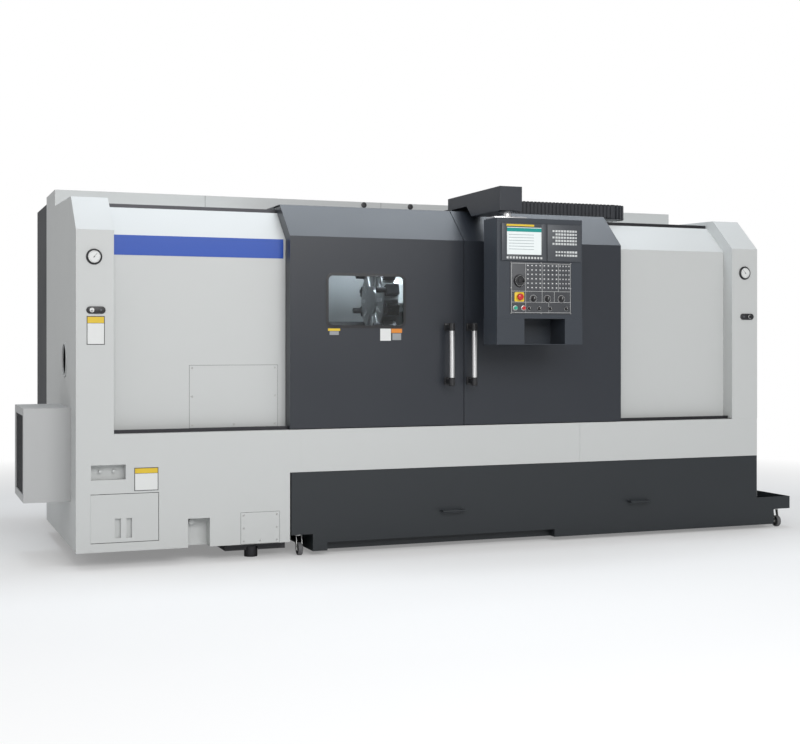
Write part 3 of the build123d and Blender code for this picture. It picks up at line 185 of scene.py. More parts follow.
class Shader:
    """A material under construction."""

    # Places of a Mix node's colour sockets, which share their names with its other sockets
    mix_factor = 0
    mix_first = 6
    mix_second = 7
    mix_result = 2

    def __init__(self, name: str) -> None:
        """Starts an empty material with its output.

        Args:
            name: The finish's name.
        """
        self.material = bpy.data.materials.new("finish_" + name)
        self.material.use_nodes = True
        self.tree = self.material.node_tree
        self.tree.nodes.clear()
        self.output = self.node("ShaderNodeOutputMaterial")
        self.coordinates = self.node("ShaderNodeTexCoord").outputs["Object"]

    def node(self, kind: str, settings: dict | None = None, inputs: dict | None = None) -> bpy.types.Node:
        """Adds a node with its properties and the values or links of its sockets."""
        return add_node(self.tree, kind, settings, inputs)

    def noise(self, scale: float, detail: float = 3.0, stretch: Point = (1, 1, 1)) -> Signal:
        """Noise in the object's own space.

        Args:
            scale: Size of the pattern, larger for finer grain.
            detail: Number of finer layers.
            stretch: Scale along each axis.

        Returns:
            The noise between 0 and 1.
        """
        mapped = self.node("ShaderNodeMapping", {}, {"Vector": self.coordinates, "Scale": stretch})
        inputs = {"Vector": mapped.outputs[0], "Scale": scale, "Detail": detail}
        return Signal(self.tree, self.node("ShaderNodeTexNoise", {}, inputs).outputs["Fac"])

    def height(self) -> Signal:
        """Height over the floor."""
        parts = self.node("ShaderNodeSeparateXYZ", {}, {"Vector": self.coordinates})
        return Signal(self.tree, parts.outputs["Z"])

    def mix(self, mask: Signal, first: Colour, second: Colour) -> bpy.types.NodeSocket:
        """Blends two colours.

        Args:
            mask: 0 for the first colour and 1 for the second.
            first: The first colour.
            second: The second colour.

        Returns:
            The blended colour.
        """
        inputs = {self.mix_factor: mask, self.mix_first: (*first, 1.0), self.mix_second: (*second, 1.0)}
        return self.node("ShaderNodeMix", {"data_type": "RGBA"}, inputs).outputs[self.mix_result]

    def relief(self, height: Signal, distance: float, edge: float = 0.0) -> bpy.types.NodeSocket:
        """A bump, on edges that are rounded in the shading.

        Args:
            height: Height of the bump between 0 and 1.
            distance: Its depth in metres.
            edge: Radius of the rounded edges, or 0 for none.

        Returns:
            The normal.
        """
        inputs = {"Height": height, "Distance": distance, "Strength": 1.0}
        if edge > 0:
            bevel = self.node("ShaderNodeBevel", {"samples": 4}, {"Radius": edge})
            inputs["Normal"] = bevel.outputs[0]
        return self.node("ShaderNodeBump", {}, inputs).outputs[0]

    def close(self, last: bpy.types.Node) -> bpy.types.Material:
        """Joins the last node to the output and returns the material."""
        self.tree.links.new(last.outputs[0], self.output.inputs["Surface"])
        return self.material

    def surface(self, **inputs: object) -> bpy.types.Material:
        """Closes the material with a Principled shader.

        Args:
            **inputs: Its sockets by name, with an underscore for each space.

        Returns:
            The finished material.
        """
        names = {key.replace("_", " "): value for key, value in inputs.items()}
        return self.close(self.node("ShaderNodeBsdfPrincipled", {}, names))


def shade(colour: Colour, factor: float) -> Colour:
    """A colour made lighter or darker."""
    return tuple(min(1.0, part * factor) for part in colour)


@dataclass(frozen=True)
class Paint:
    """Powder coat on sheet metal: fine peel, rounded folds and a tone that is darker low down."""

    name: str
    colour: Colour
    roughness: float = 0.42
    peel: float = 0.00012
    edge: float = 0.0018
    variation: float = 0.03
    darkening: float = 0.06
    coat: float = 0.0
    cloud_scale: float = 2.3
    peel_scale: float = 520.0
    darkening_height: float = 0.75
    dark_factor: float = 0.62
    gloss_spread: float = 0.10

    def material(self) -> bpy.types.Material:
        """Builds the material.

        Returns:
            The new material.
        """
        shader = Shader(self.name)
        cloud = shader.noise(self.cloud_scale, 4)
        fine = shader.noise(self.peel_scale, 1)
        # Random tone, plus a tone that grows darker towards the floor below a set height
        low = (1 - shader.height() / self.darkening_height).clamped()
        darkening = (low * cloud * self.darkening * 2 + cloud * self.variation).clamped()
        return shader.surface(
            Base_Color=shader.mix(darkening, self.colour, shade(self.colour, self.dark_factor)),
            Roughness=(cloud * self.gloss_spread + (self.roughness - self.gloss_spread / 2)).clamped(),
            Coat_Weight=self.coat,
            Normal=shader.relief(fine, self.peel, self.edge),
        )


@dataclass(frozen=True)
class BareMetal:
    """Ground, drawn or plated metal with fine lines along one axis."""

    name: str
    colour: Colour
    roughness: float = 0.3
    stretch: Point = (2, 60, 60)
    grain: float = 0.00006
    edge: float = 0.0008
    line_scale: float = 22.0
    cloud_scale: float = 5.0
    bright: float = 1.08
    dark: float = 0.72

    def material(self) -> bpy.types.Material:
        """Builds the material.

        Returns:
            The new material.
        """
        shader = Shader(self.name)
        lines = shader.noise(self.line_scale, 4, self.stretch)
        cloud = shader.noise(self.cloud_scale, 3)
        wear = lines * 0.5 + cloud * 0.3
        return shader.surface(
            Base_Color=shader.mix(wear, shade(self.colour, self.bright), shade(self.colour, self.dark)),
            Metallic=1.0,
            Roughness=(lines * 0.14 + cloud * 0.08 + (self.roughness - 0.1)).clamped(),
            Normal=shader.relief(lines, self.grain, self.edge),
        )


@dataclass(frozen=True)
class Casting:
    """Painted casting with a sandy skin."""

    name: str
    colour: Colour
    roughness: float = 0.6
    skin_scale: float = 140.0
    cloud_scale: float = 6.0
    bright: float = 1.1
    dark: float = 0.6
    bump: float = 0.0012
    edge: float = 0.003

    def material(self) -> bpy.types.Material:
        """Builds the material.

        Returns:
            The new material.
        """
        shader = Shader(self.name)
        skin = shader.noise(self.skin_scale, 5)
        cloud = shader.noise(self.cloud_scale, 3)
        wear = cloud * 0.6 + skin * 0.3
        return shader.surface(
            Base_Color=shader.mix(wear, shade(self.colour, self.bright), shade(self.colour, self.dark)),
            Roughness=(skin * 0.2 + (self.roughness - 0.1)).clamped(),
            Normal=shader.relief(skin, self.bump, self.edge),
        )


@dataclass(frozen=True)
class Moulded:
    """Moulded plastic or rubber with a fine texture."""

    name: str
    colour: Colour
    roughness: float = 0.45
    texture: float = 0.00008
    grain: float = 900.0
    edge: float = 0.0006
    coat: float = 0.0
    cloud_scale: float = 9.0
    dark: float = 0.75

    def material(self) -> bpy.types.Material:
        """Builds the material.

        Returns:
            The new material.
        """
        shader = Shader(self.name)
        grain = shader.noise(self.grain, 2)
        cloud = shader.noise(self.cloud_scale, 3)
        return shader.surface(
            Base_Color=shader.mix(cloud * 0.35, self.colour, shade(self.colour, self.dark)),
            Roughness=(grain * 0.1 + cloud * 0.06 + (self.roughness - 0.07)).clamped(),
            Coat_Weight=self.coat,
            Normal=shader.relief(grain, self.texture, self.edge),
        )


@dataclass(frozen=True)
class Pane:
    """Clear sheet: mostly see-through, with reflections that grow at a flat angle."""

    name: str
    tint: Colour
    smear: float = 0.012
    polish: float = 0.04
    density: float = 1.45

    def material(self) -> bpy.types.Material:
        """Builds the material.

        Returns:
            The new material.
        """
        shader = Shader(self.name)
        clear = shader.node("ShaderNodeBsdfTransparent", {}, {"Color": (*self.tint, 1.0)})
        gloss = shader.node("ShaderNodeBsdfGlossy", {}, {"Roughness": self.polish})
        fresnel = Signal(shader.tree, shader.node("ShaderNodeFresnel", {}, {"IOR": self.density}).outputs[0])
        smear = shader.noise(7, 4, (1, 1, 3)) * self.smear
        inputs = {0: (fresnel + smear).clamped(), 1: clear.outputs[0], 2: gloss.outputs[0]}
        return shader.close(shader.node("ShaderNodeMixShader", {}, inputs))


@dataclass(frozen=True)
class Glow:
    """A lit face, such as a screen or a lamp."""

    name: str
    colour: Colour
    strength: float = 1.0
    cloud_scale: float = 30.0
    dark: float = 0.8

    def material(self) -> bpy.types.Material:
        """Builds the material.

        Returns:
            The new material.
        """
        shader = Shader(self.name)
        cloud = shader.noise(self.cloud_scale, 2)
        colour = shader.mix(cloud * 0.2, self.colour, shade(self.colour, self.dark))
        return shader.surface(
            Base_Color=colour,
            Roughness=0.2,
            Emission_Color=colour,
            Emission_Strength=self.strength,
        )


class Finish(Enum):
    """Every finish of the machine."""

    LIGHT_PAINT = Paint("light_paint", (0.560, 0.572, 0.566), roughness=0.42, darkening=0.0)
    PENDANT_PAINT = Paint("pendant_paint", (0.034, 0.041, 0.052), roughness=0.38, variation=0.06, darkening=0.02)
    SLATE_PAINT = Paint("slate_paint", (0.023, 0.027, 0.035), roughness=0.36, variation=0.08, darkening=0.02)
    TANK_PAINT = Paint("tank_paint", (0.018, 0.022, 0.026), roughness=0.42, variation=0.10, darkening=0.02)
    CABINET_PAINT = Paint("cabinet_paint", (0.016, 0.019, 0.024), roughness=0.55, variation=0.08, darkening=0.02)
    COOLER_PAINT = Paint("cooler_paint", (0.47, 0.475, 0.475), roughness=0.45)
    BLUE_PAINT = Paint("blue_paint", (0.0, 0.060, 0.40), roughness=0.30, variation=0.05, coat=0.3)
    PANEL_GREY = Paint("panel_grey", (0.055, 0.058, 0.064), roughness=0.45, peel=0.00005, edge=0.0006)
    WHITE_FIELD = Paint("white_field", (0.72, 0.73, 0.72), roughness=0.4, peel=0.00003, edge=0.0003)
    YELLOW_FIELD = Paint("yellow_field", (0.72, 0.50, 0.03), roughness=0.4, peel=0.00003, edge=0.0003)
    ORANGE_FIELD = Paint("orange_field", (0.70, 0.24, 0.03), roughness=0.4, peel=0.00003, edge=0.0003)
    GREY_FIELD = Paint("grey_field", (0.30, 0.31, 0.32), roughness=0.45, peel=0.00003, edge=0.0003)
    DARK_FIELD = Paint("dark_field", (0.035, 0.035, 0.04), roughness=0.5, peel=0.00003, edge=0.0003)
    GROUND_STEEL = BareMetal("ground_steel", (0.60, 0.61, 0.62), roughness=0.28)
    BLACK_STEEL = BareMetal("black_steel", (0.06, 0.06, 0.065), roughness=0.38)
    STAINLESS = BareMetal("stainless_sheet", (0.46, 0.47, 0.48), roughness=0.38, stretch=(3, 3, 50))
    ZINC = BareMetal("zinc_steel", (0.60, 0.60, 0.59), roughness=0.36, stretch=(8, 8, 8))
    ALUMINIUM = BareMetal("aluminium", (0.78, 0.78, 0.79), roughness=0.3, stretch=(3, 50, 50))
    DARK_CASTING = Casting("dark_casting", (0.055, 0.056, 0.062))
    DARK_PAINT = Casting("dark_paint", (0.05, 0.06, 0.07), roughness=0.45)
    BLACK_PLASTIC = Moulded("black_plastic", (0.018, 0.018, 0.020), roughness=0.38)
    CHAIN_PLASTIC = Moulded("chain_plastic", (0.030, 0.033, 0.040), roughness=0.42)
    CONTROL_PLASTIC = Moulded("control_plastic", (0.060, 0.066, 0.076), roughness=0.42)
    KEY_PLASTIC = Moulded("key_plastic", (0.62, 0.64, 0.64), roughness=0.35)
    KEY_GREY = Moulded("key_grey", (0.085, 0.090, 0.100), roughness=0.4)
    SIGNAL_RED = Moulded("signal_red", (0.55, 0.015, 0.015), roughness=0.3, coat=0.4)
    SIGNAL_GREEN = Moulded("signal_green", (0.02, 0.36, 0.24), roughness=0.3, coat=0.4)
    SIGNAL_YELLOW = Moulded("signal_yellow", (0.80, 0.56, 0.02), roughness=0.35)
    TYRE = Moulded("caster_tyre", (0.14, 0.14, 0.145), roughness=0.7, grain=300, texture=0.0002)
    WHEEL_CORE = Moulded("wheel_core", (0.03, 0.03, 0.032), roughness=0.5)
    BELT_RUBBER = Moulded("belt_rubber", (0.02, 0.02, 0.02), roughness=0.7)
    WINDOW_GLASS = Pane("window_glass", (0.90, 0.94, 0.95))
    SCREEN_WHITE = Glow("screen_white", (0.62, 0.66, 0.66), 0.35)
    SCREEN_TEAL = Glow("screen_teal", (0.01, 0.22, 0.20), 0.35)
    SCREEN_LINE = Glow("screen_line", (0.20, 0.24, 0.26), 0.2)
    LAMP = Glow("chamber_lamp", (0.90, 0.95, 1.0), 80.0)
    HANDLE_TUBE = BareMetal("handle_tube", (0.80, 0.80, 0.80), roughness=0.36, stretch=(40, 40, 2))

    def material(self) -> bpy.types.Material:
        """The finish's material, built once."""
        found = bpy.data.materials.get("finish_" + self.value.name)
        return found or self.value.material()


# Meshes


class Workpiece:
    """A mesh under construction, in the row frame, with a finish for each face."""

    # A radius up to this one is a point on the axis
    on_axis = 1e-6

    # Steps of a disc's rounded edge
    edge_steps = 4

    def __init__(self, name: str) -> None:
        """Starts an empty mesh.

        Args:
            name: The piece's name.
        """
        self.name = name
        self.mesh = bmesh.new()
        self.finishes: list[Finish] = []

    def _join(self, part: bmesh.types.BMesh, finish: Finish) -> None:
        """Dresses a part mesh, moves it into this one and frees it.

        Args:
            part: The part mesh.
            finish: Its finish.
        """
        if finish not in self.finishes:
            self.finishes.append(finish)
        for face in part.faces:
            face.material_index = self.finishes.index(finish)
        temporary = bpy.data.meshes.new("part")
        part.to_mesh(temporary)
        part.free()
        self.mesh.from_mesh(temporary)
        bpy.data.meshes.remove(temporary)

    def add_part(self, part: bmesh.types.BMesh, finish: Finish, matrix: Matrix | None = None) -> None:
        """Adds a closed part mesh, with its faces turned outwards.

        Args:
            part: The part mesh, freed afterwards.
            finish: Its finish.
            matrix: Its place, or None where it is in the row frame already.
        """
        if matrix is not None:
            bmesh.ops.transform(part, matrix=matrix, verts=part.verts)
        bmesh.ops.recalc_face_normals(part, faces=part.faces)
        self._join(part, finish)

    def add_mesh(self, mesh: bpy.types.Mesh, finish: Finish, matrix: Matrix | None = None) -> None:
        """Adds a ready mesh, whose faces already point outwards.

        Args:
            mesh: The mesh.
            finish: Its finish.
            matrix: Its place, or None where it is in the row frame already.
        """
        part = bmesh.new()
        part.from_mesh(mesh)
        if matrix is not None:
            bmesh.ops.transform(part, matrix=matrix, verts=part.verts)
        self._join(part, finish)

    def box(self, low: Vector, high: Vector, finish: Finish, bevel: float = 0.0, segments: int = 2) -> None:
        """Adds a block with rounded edges.

        Args:
            low: Its lowest corner.
            high: Its highest corner.
            finish: Its finish.
            bevel: Radius of its edges.
            segments: Steps of each rounded edge.
        """
        part = bmesh.new()
        bmesh.ops.create_cube(part, size=1.0)
        middle, size = (low + high) / 2, high - low
        for vertex in part.verts:
            vertex.co = Vector(middle[i] + vertex.co[i] * size[i] for i in range(3))
        if bevel > 0:
            bmesh.ops.bevel(
                part, geom=part.edges[:], offset=bevel, segments=segments, profile=0.5, affect="EDGES"
            )
        self.add_part(part, finish)

    def revolve(
        self, profile: Profile, place: Vector, facing: Facing, finish: Finish, steps: int = 32
    ) -> None:
        """Adds a turned form.

        Args:
            profile: Radii and distances along the axis, from one end to the other.
            place: Where distance 0 lies.
            facing: Direction of the axis.
            finish: Its finish.
            steps: Number of faces round it.
        """
        part = bmesh.new()
        rings = []
        angles = [2 * math.pi * i / steps for i in range(steps)]
        for radius, along in profile:
            if radius <= self.on_axis:
                rings.append([part.verts.new((0, 0, along))])
            else:
                places = [(radius * math.cos(angle), radius * math.sin(angle), along) for angle in angles]
                rings.append([part.verts.new(corner) for corner in places])
        for lower, upper in zip(rings, rings[1:]):
            for i in range(steps):
                corners = [lower[i % len(lower)], lower[(i + 1) % len(lower)]]
                corners += [upper[(i + 1) % len(upper)], upper[i % len(upper)]]
                unique = list(dict.fromkeys(corners))
                if len(unique) > 2:
                    part.faces.new(unique)
        for ring in (rings[0], rings[-1]):
            if len(ring) > 2:
                part.faces.new(ring)
        self.add_part(part, finish, facing.matrix(place))

    def disc(
        self, place: Vector, facing: Facing, radius: float, length: float, finish: Finish,
        round_edge: float = 0.0,
    ) -> None:
        """Adds a short cylinder whose far edge is rounded.

        Args:
            place: The middle of its near end.
            facing: Direction of its far end.
            radius: Its radius.
            length: Its length.
            finish: Its finish.
            round_edge: Radius of its far edge, or 0 for a sharp one.
        """
        edge = min(round_edge, radius * 0.5, length * 0.9)
        profile = [(radius, 0.0), (radius, length - edge)]
        if edge > 0:
            for i in range(1, self.edge_steps + 1):
                angle = math.pi / 2 * i / self.edge_steps
                profile.append((radius - edge * (1 - math.cos(angle)), length - edge * (1 - math.sin(angle))))
        self.revolve(profile, place, facing, finish)

    def tube(self, points: Sequence[Vector], radius: float, finish: Finish, steps: int = 12) -> None:
        """Adds a round bar through points, closed at both ends.

        Args:
            points: The points of its middle line.
            radius: Its radius.
            finish: Its finish.
            steps: Number of faces round it.
        """
        part = bmesh.new()
        rings = []
        count = len(points)
        side = None
        for i, point in enumerate(points):
            along = (points[min(i + 1, count - 1)] - points[max(i - 1, 0)]).normalized()
            if side is None:
                side = along.orthogonal().normalized()
            side = (side - along * side.dot(along)).normalized()
            other = along.cross(side)
            angles = [2 * math.pi * j / steps for j in range(steps)]
            spokes = [side * math.cos(angle) + other * math.sin(angle) for angle in angles]
            rings.append([part.verts.new(point + spoke * radius) for spoke in spokes])
        for lower, upper in zip(rings, rings[1:]):
            for j in range(steps):
                k = (j + 1) % steps
                part.faces.new((lower[j], lower[k], upper[k], upper[j]))
        part.faces.new(rings[0])
        part.faces.new(rings[-1])
        self.add_part(part, finish)

    def plate(
        self, outline: Sequence[tuple[float, float]], place: Vector, thickness: float, finish: Finish,
        bevel: float = 0.0,
    ) -> None:
        """Adds a flat plate with any outline, facing the front.

        Args:
            outline: Its corners, across and up.
            place: Where the outline's origin lies.
            thickness: Its thickness, from the place towards the front.
            finish: Its finish.
            bevel: Radius of the edges of its face.
        """
        part = bmesh.new()
        back = [part.verts.new(place + Vector((across, 0, up))) for across, up in outline]
        front = [part.verts.new(vertex.co + Vector((0, -thickness, 0))) for vertex in back]
        part.faces.new(back)
        face = part.faces.new(front)
        count = len(outline)
        for i in range(count):
            j = (i + 1) % count
            part.faces.new((back[i], back[j], front[j], front[i]))
        if bevel > 0:
            bmesh.ops.bevel(
                part, geom=list(face.edges), offset=bevel, segments=2, profile=0.5, affect="EDGES"
            )
        self.add_part(part, finish)

    def finish(self, body: str | None, angle: float = 35.0) -> bpy.types.Object:
        """Makes the object and lets it ride on a body.

        Args:
            body: The body's name, or None for a piece that rides on no body.
            angle: Edges sharper than this many degrees stay sharp.

        Returns:
            The finished object.
        """
        mesh = bpy.data.meshes.new(self.name)
        self.mesh.to_mesh(mesh)
        self.mesh.free()
        for finish in self.finishes:
            mesh.materials.append(finish.material())
        mesh.shade_smooth()
        mesh.set_sharp_from_angle(angle=math.radians(angle))
        piece = bpy.data.objects.new(self.name, mesh)
        bpy.context.scene.collection.objects.link(piece)
        if body is not None:
            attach(piece, body)
        LOG.info("%s: %d faces on %s", self.name, len(mesh.polygons), body)
        return piece


def rounded(width: float, height: float, radius: float, steps: int = 5) -> list[tuple[float, float]]:
    """Outline of a rectangle with round corners about its middle.

    Args:
        width: Its width.
        height: Its height.
        radius: Radius of its corners.
        steps: Points of each corner.

    Returns:
        The outline's points, anticlockwise.
    """
    points = []
    centres = ((1, 1, 0), (-1, 1, 90), (-1, -1, 180), (1, -1, 270))
    for sx, sy, start in centres:
        for i in range(steps + 1):
            angle = math.radians(start + 90 * i / steps)
            across = sx * (width / 2 - radius) + radius * math.cos(angle)
            up = sy * (height / 2 - radius) + radius * math.sin(angle)
            points.append((across, up))
    return points


# Geometry nodes


class Repeat:
    """A Geometry Nodes tree with named inputs, turned into a plain mesh."""

    def __init__(self, name: str) -> None:
        """Starts a tree with a geometry in and out.

        Args:
            name: The tree's name.
        """
        self.tree = bpy.data.node_groups.new(name, "GeometryNodeTree")
        self.tree.interface.new_socket(name="Geometry", in_out="INPUT", socket_type="NodeSocketGeometry")
        self.tree.interface.new_socket(name="Geometry", in_out="OUTPUT", socket_type="NodeSocketGeometry")
        self.entry = self.tree.nodes.new("NodeGroupInput")
        self.exit = self.tree.nodes.new("NodeGroupOutput")
        self.values: dict[str, object] = {}

    def size(self, name: str, value: object) -> bpy.types.NodeSocket:
        """Adds a named input.

        Args:
            name: The input's name.
            value: Its value, a number, a count or a vector.

        Returns:
            The socket that carries it inside the tree.
        """
        kinds = {int: "NodeSocketInt", float: "NodeSocketFloat"}
        kind = kinds.get(type(value), "NodeSocketVector")
        socket = self.tree.interface.new_socket(name=name, in_out="INPUT", socket_type=kind)
        self.values[socket.identifier] = value
        return self.entry.outputs[name]

    def node(self, kind: str, settings: dict | None = None, inputs: dict | None = None) -> bpy.types.Node:
        """Adds a node with its properties and the values or links of its sockets."""
        return add_node(self.tree, kind, settings, inputs)

    def box(self, size: Point, place: Point, turn: Point = (0.0, 0.0, 0.0)) -> bpy.types.NodeSocket:
        """Adds a block.

        Args:
            size: Its size along each axis.
            place: Its middle.
            turn: Its rotation about its middle, in radians.

        Returns:
            The block's geometry.
        """
        block = self.node("GeometryNodeMeshCube", {}, {"Size": size})
        inputs = {"Geometry": block.outputs[0], "Translation": place, "Rotation": turn}
        return self.node("GeometryNodeTransform", {}, inputs).outputs[0]

    def join(self, parts: Sequence[bpy.types.NodeSocket]) -> bpy.types.NodeSocket:
        """Joins geometries into one.

        Args:
            parts: The geometries.

        Returns:
            The joined geometry.
        """
        joined = self.node("GeometryNodeJoinGeometry")
        for part in parts:
            self.tree.links.new(part, joined.inputs[0])
        return joined.outputs[0]

    def dots(self, mesh: bpy.types.NodeSocket) -> bpy.types.NodeSocket:
        """The points of a mesh."""
        return self.node("GeometryNodeMeshToPoints", {}, {"Mesh": mesh}).outputs[0]

    def stamp(
        self, dots: bpy.types.NodeSocket, shape: bpy.types.NodeSocket,
        turn: bpy.types.NodeSocket | None = None,
    ) -> bpy.types.NodeSocket:
        """Puts a shape at every point.

        Args:
            dots: The points.
            shape: The geometry that is repeated.
            turn: Its rotation at each point, or None for none.

        Returns:
            The instances.
        """
        inputs = {"Points": dots, "Instance": shape}
        if turn is not None:
            inputs["Rotation"] = turn
        return self.node("GeometryNodeInstanceOnPoints", {}, inputs).outputs[0]

    def result(self, geometry: bpy.types.NodeSocket, finish: Finish, carrier: bpy.types.ID) -> bpy.types.Mesh:
        """Ends the tree, evaluates it on a carrier and returns the mesh.

        Args:
            geometry: The tree's last geometry, still instances.
            finish: The finish it sets.
            carrier: Mesh or curve data that the tree gets as its input.

        Returns:
            A mesh that belongs to no object.
        """
        real = self.node("GeometryNodeRealizeInstances", {}, {"Geometry": geometry})
        inputs = {"Geometry": real.outputs[0], "Material": finish.material()}
        dressed = self.node("GeometryNodeSetMaterial", {}, inputs)
        self.tree.links.new(dressed.outputs[0], self.exit.inputs[0])
        holder = bpy.data.objects.new(self.tree.name, carrier)
        bpy.context.scene.collection.objects.link(holder)
        modifier = holder.modifiers.new(self.tree.name, "NODES")
        modifier.node_group = self.tree
        for identifier, value in self.values.items():
            modifier[identifier] = value
        graph = bpy.context.evaluated_depsgraph_get()
        mesh = bpy.data.meshes.new_from_object(holder.evaluated_get(graph), depsgraph=graph)
        holder.modifiers.remove(modifier)
        bpy.data.objects.remove(holder)
        return mesh


def empty_mesh() -> bpy.types.Mesh:
    """A mesh with nothing in it, for trees that make their own points."""
    return bpy.data.meshes.new("carrier")


def points_mesh(points: Sequence[Sequence[float]]) -> bpy.types.Mesh:
    """A mesh of loose points.

    Args:
        points: The points.

    Returns:
        The mesh.
    """
    mesh = bpy.data.meshes.new("points")
    mesh.from_pydata([tuple(p) for p in points], [], [])
    return mesh


def screws_mesh(points: Sequence[Sequence[float]], radius: float, finish: Finish) -> bpy.types.Mesh:
    """Pan-head screws at points, with their heads towards +Z.

    Args:
        points: Where the screws sit.
        radius: Radius of a head.
        finish: Their finish.

    Returns:
        The screws' mesh.
    """
    crown = radius * 0.72
    height = radius * 0.55
    slot = (radius * 1.1, radius * 0.24, radius * 0.2)
    slot_level = radius * 0.53
    repeat = Repeat("screw_heads")
    head_radius = repeat.size("Head radius", radius)
    head_height = repeat.size("Head height", height)
    head = repeat.node(
        "GeometryNodeMeshCone", {},
        {"Vertices": 14, "Radius Bottom": head_radius, "Radius Top": crown, "Depth": head_height},
    )
    bars = [repeat.box(slot, (0, 0, slot_level), (0, 0, turn)) for turn in (0.0, math.pi / 2)]
    shape = repeat.join((head.outputs[0], *bars))
    screws = repeat.stamp(repeat.dots(repeat.entry.outputs[0]), shape)
    return repeat.result(screws, finish, points_mesh(points))


def keys_mesh(
    count: tuple[int, int], pitch: tuple[float, float], key: Point, finish: Finish
) -> bpy.types.Mesh:
    """A field of keys about the origin, standing up along +Z.

    Args:
        count: Keys across and up.
        pitch: Distance between them, across and up.
        key: Width, height and thickness of a key.
        finish: Their finish.

    Returns:
        The keys' mesh.
    """
    width, height, thickness = key
    base, taper = 0.6, 0.84
    repeat = Repeat("key_field")
    columns = repeat.size("Columns", count[0])
    rows = repeat.size("Rows", count[1])
    across = repeat.size("Field width", pitch[0] * (count[0] - 1))
    up = repeat.size("Field height", pitch[1] * (count[1] - 1))
    inputs = {"Size X": across, "Size Y": up, "Vertices X": columns, "Vertices Y": rows}
    grid = repeat.node("GeometryNodeMeshGrid", {}, inputs)
    foot = repeat.box((width, height, thickness * base), (0, 0, thickness * base / 2))
    cap_size = (width * taper, height * taper, thickness * (1 - base))
    cap = repeat.box(cap_size, (0, 0, thickness * (1 + base) / 2))
    keys = repeat.stamp(repeat.dots(grid.outputs["Mesh"]), repeat.join((foot, cap)))
    return repeat.result(keys, finish, empty_mesh())


def wires_mesh(count: int, pitch: float, wire: Point, finish: Finish) -> bpy.types.Mesh:
    """Wires in a row along +Y, each lying along X.

    Args:
        count: Number of wires.
        pitch: Distance between them.
        wire: Length, width and thickness of a wire.
        finish: Their finish.

    Returns:
        The wires' mesh.
    """
    repeat = Repeat("wire_row")
    number = repeat.size("Wires", count)
    step = repeat.size("Pitch", (0.0, pitch, 0.0))
    line = repeat.node("GeometryNodeMeshLine", {"mode": "OFFSET"}, {"Count": number, "Offset": step})
    shape = repeat.node("GeometryNodeMeshCube", {}, {"Size": repeat.size("Wire size", wire)})
    return repeat.result(repeat.stamp(repeat.dots(line.outputs[0]), shape.outputs[0]), finish, empty_mesh())


def ring_mesh(count: int, radius: float, mark: Point, finish: Finish) -> bpy.types.Mesh:
    """Marks in a ring about +Z, each pointing outwards.

    Args:
        count: Number of marks.
        radius: Radius of the ring.
        mark: Length outwards, width and thickness of a mark.
        finish: Their finish.

    Returns:
        The marks' mesh.
    """
    repeat = Repeat("mark_ring")
    number = repeat.size("Marks", count)
    size = repeat.size("Ring radius", radius)
    circle = repeat.node("GeometryNodeMeshCircle", {}, {"Vertices": number, "Radius": size})
    shape = repeat.node("GeometryNodeMeshCube", {}, {"Size": repeat.size("Mark size", mark)})
    position = repeat.node("GeometryNodeInputPosition")
    turn = repeat.node("FunctionNodeAlignRotationToVector", {"axis": "X"}, {"Vector": position.outputs[0]})
    marks = repeat.stamp(repeat.dots(circle.outputs[0]), shape.outputs[0], turn.outputs[0])
    return repeat.result(marks, finish, empty_mesh())


# Sub-assemblies


@dataclass
class NodeFinishes:
    """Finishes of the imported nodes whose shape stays."""

    light: tuple[str, ...] = (
        "left_side_panel", "left_front_panel", "left_recess_panel", "header_panel", "right_recess_panel",
        "right_end_cover", "lower_front_panel", "rear_cover", "service_door", "tailstock", "cross_slide",
    )
    pendant: tuple[str, ...] = ("pendant_box", "pendant_shelf")
    slate: tuple[str, ...] = ("left_door", "right_door", "roof_deck", "trolley_beam")
    cabinet: tuple[str, ...] = ("electrical_cabinet", "cabinet_door")
    castings: tuple[str, ...] = ("machine_bed", "headstock", "carriage", "motor_pulley")
    ground: tuple[str, ...] = (
        "bed_ways", "spindle", "quill", "turret_disc", "chuck_jaw_1", "chuck_jaw_2", "chuck_jaw_3",
    )
    black_metal: tuple[str, ...] = ("levelling_feet", "chuck", "tool_holders", "guide_rails")
    machine_paint: tuple[str, ...] = ("spindle_motor", "hydraulic_unit")

    def dress(self) -> None:
        """Gives every kept node its finish."""
        groups = {
            Finish.LIGHT_PAINT: self.light,
            Finish.PENDANT_PAINT: self.pendant,
            Finish.SLATE_PAINT: self.slate,
            Finish.CABINET_PAINT: self.cabinet,
            Finish.DARK_CASTING: self.castings,
            Finish.GROUND_STEEL: self.ground,
            Finish.BLACK_STEEL: self.black_metal,
            Finish.DARK_PAINT: self.machine_paint,
            Finish.TANK_PAINT: ("coolant_tank",),
            Finish.STAINLESS: ("chamber_liner",),
            Finish.CONTROL_PLASTIC: ("drive_rack",),
            Finish.BELT_RUBBER: ("drive_belt",),
            Finish.COOLER_PAINT: ("oil_cooler",),
            Finish.WINDOW_GLASS: ("door_window",),
            Finish.ZINC: ("left_caster_fork", "right_caster_fork"),
        }
        for finish, names in groups.items():
            for name in names:
                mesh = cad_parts[name].data
                mesh.materials.clear()
                mesh.materials.append(finish.material())
                LOG.info("%s: %s", name, finish.value.name)


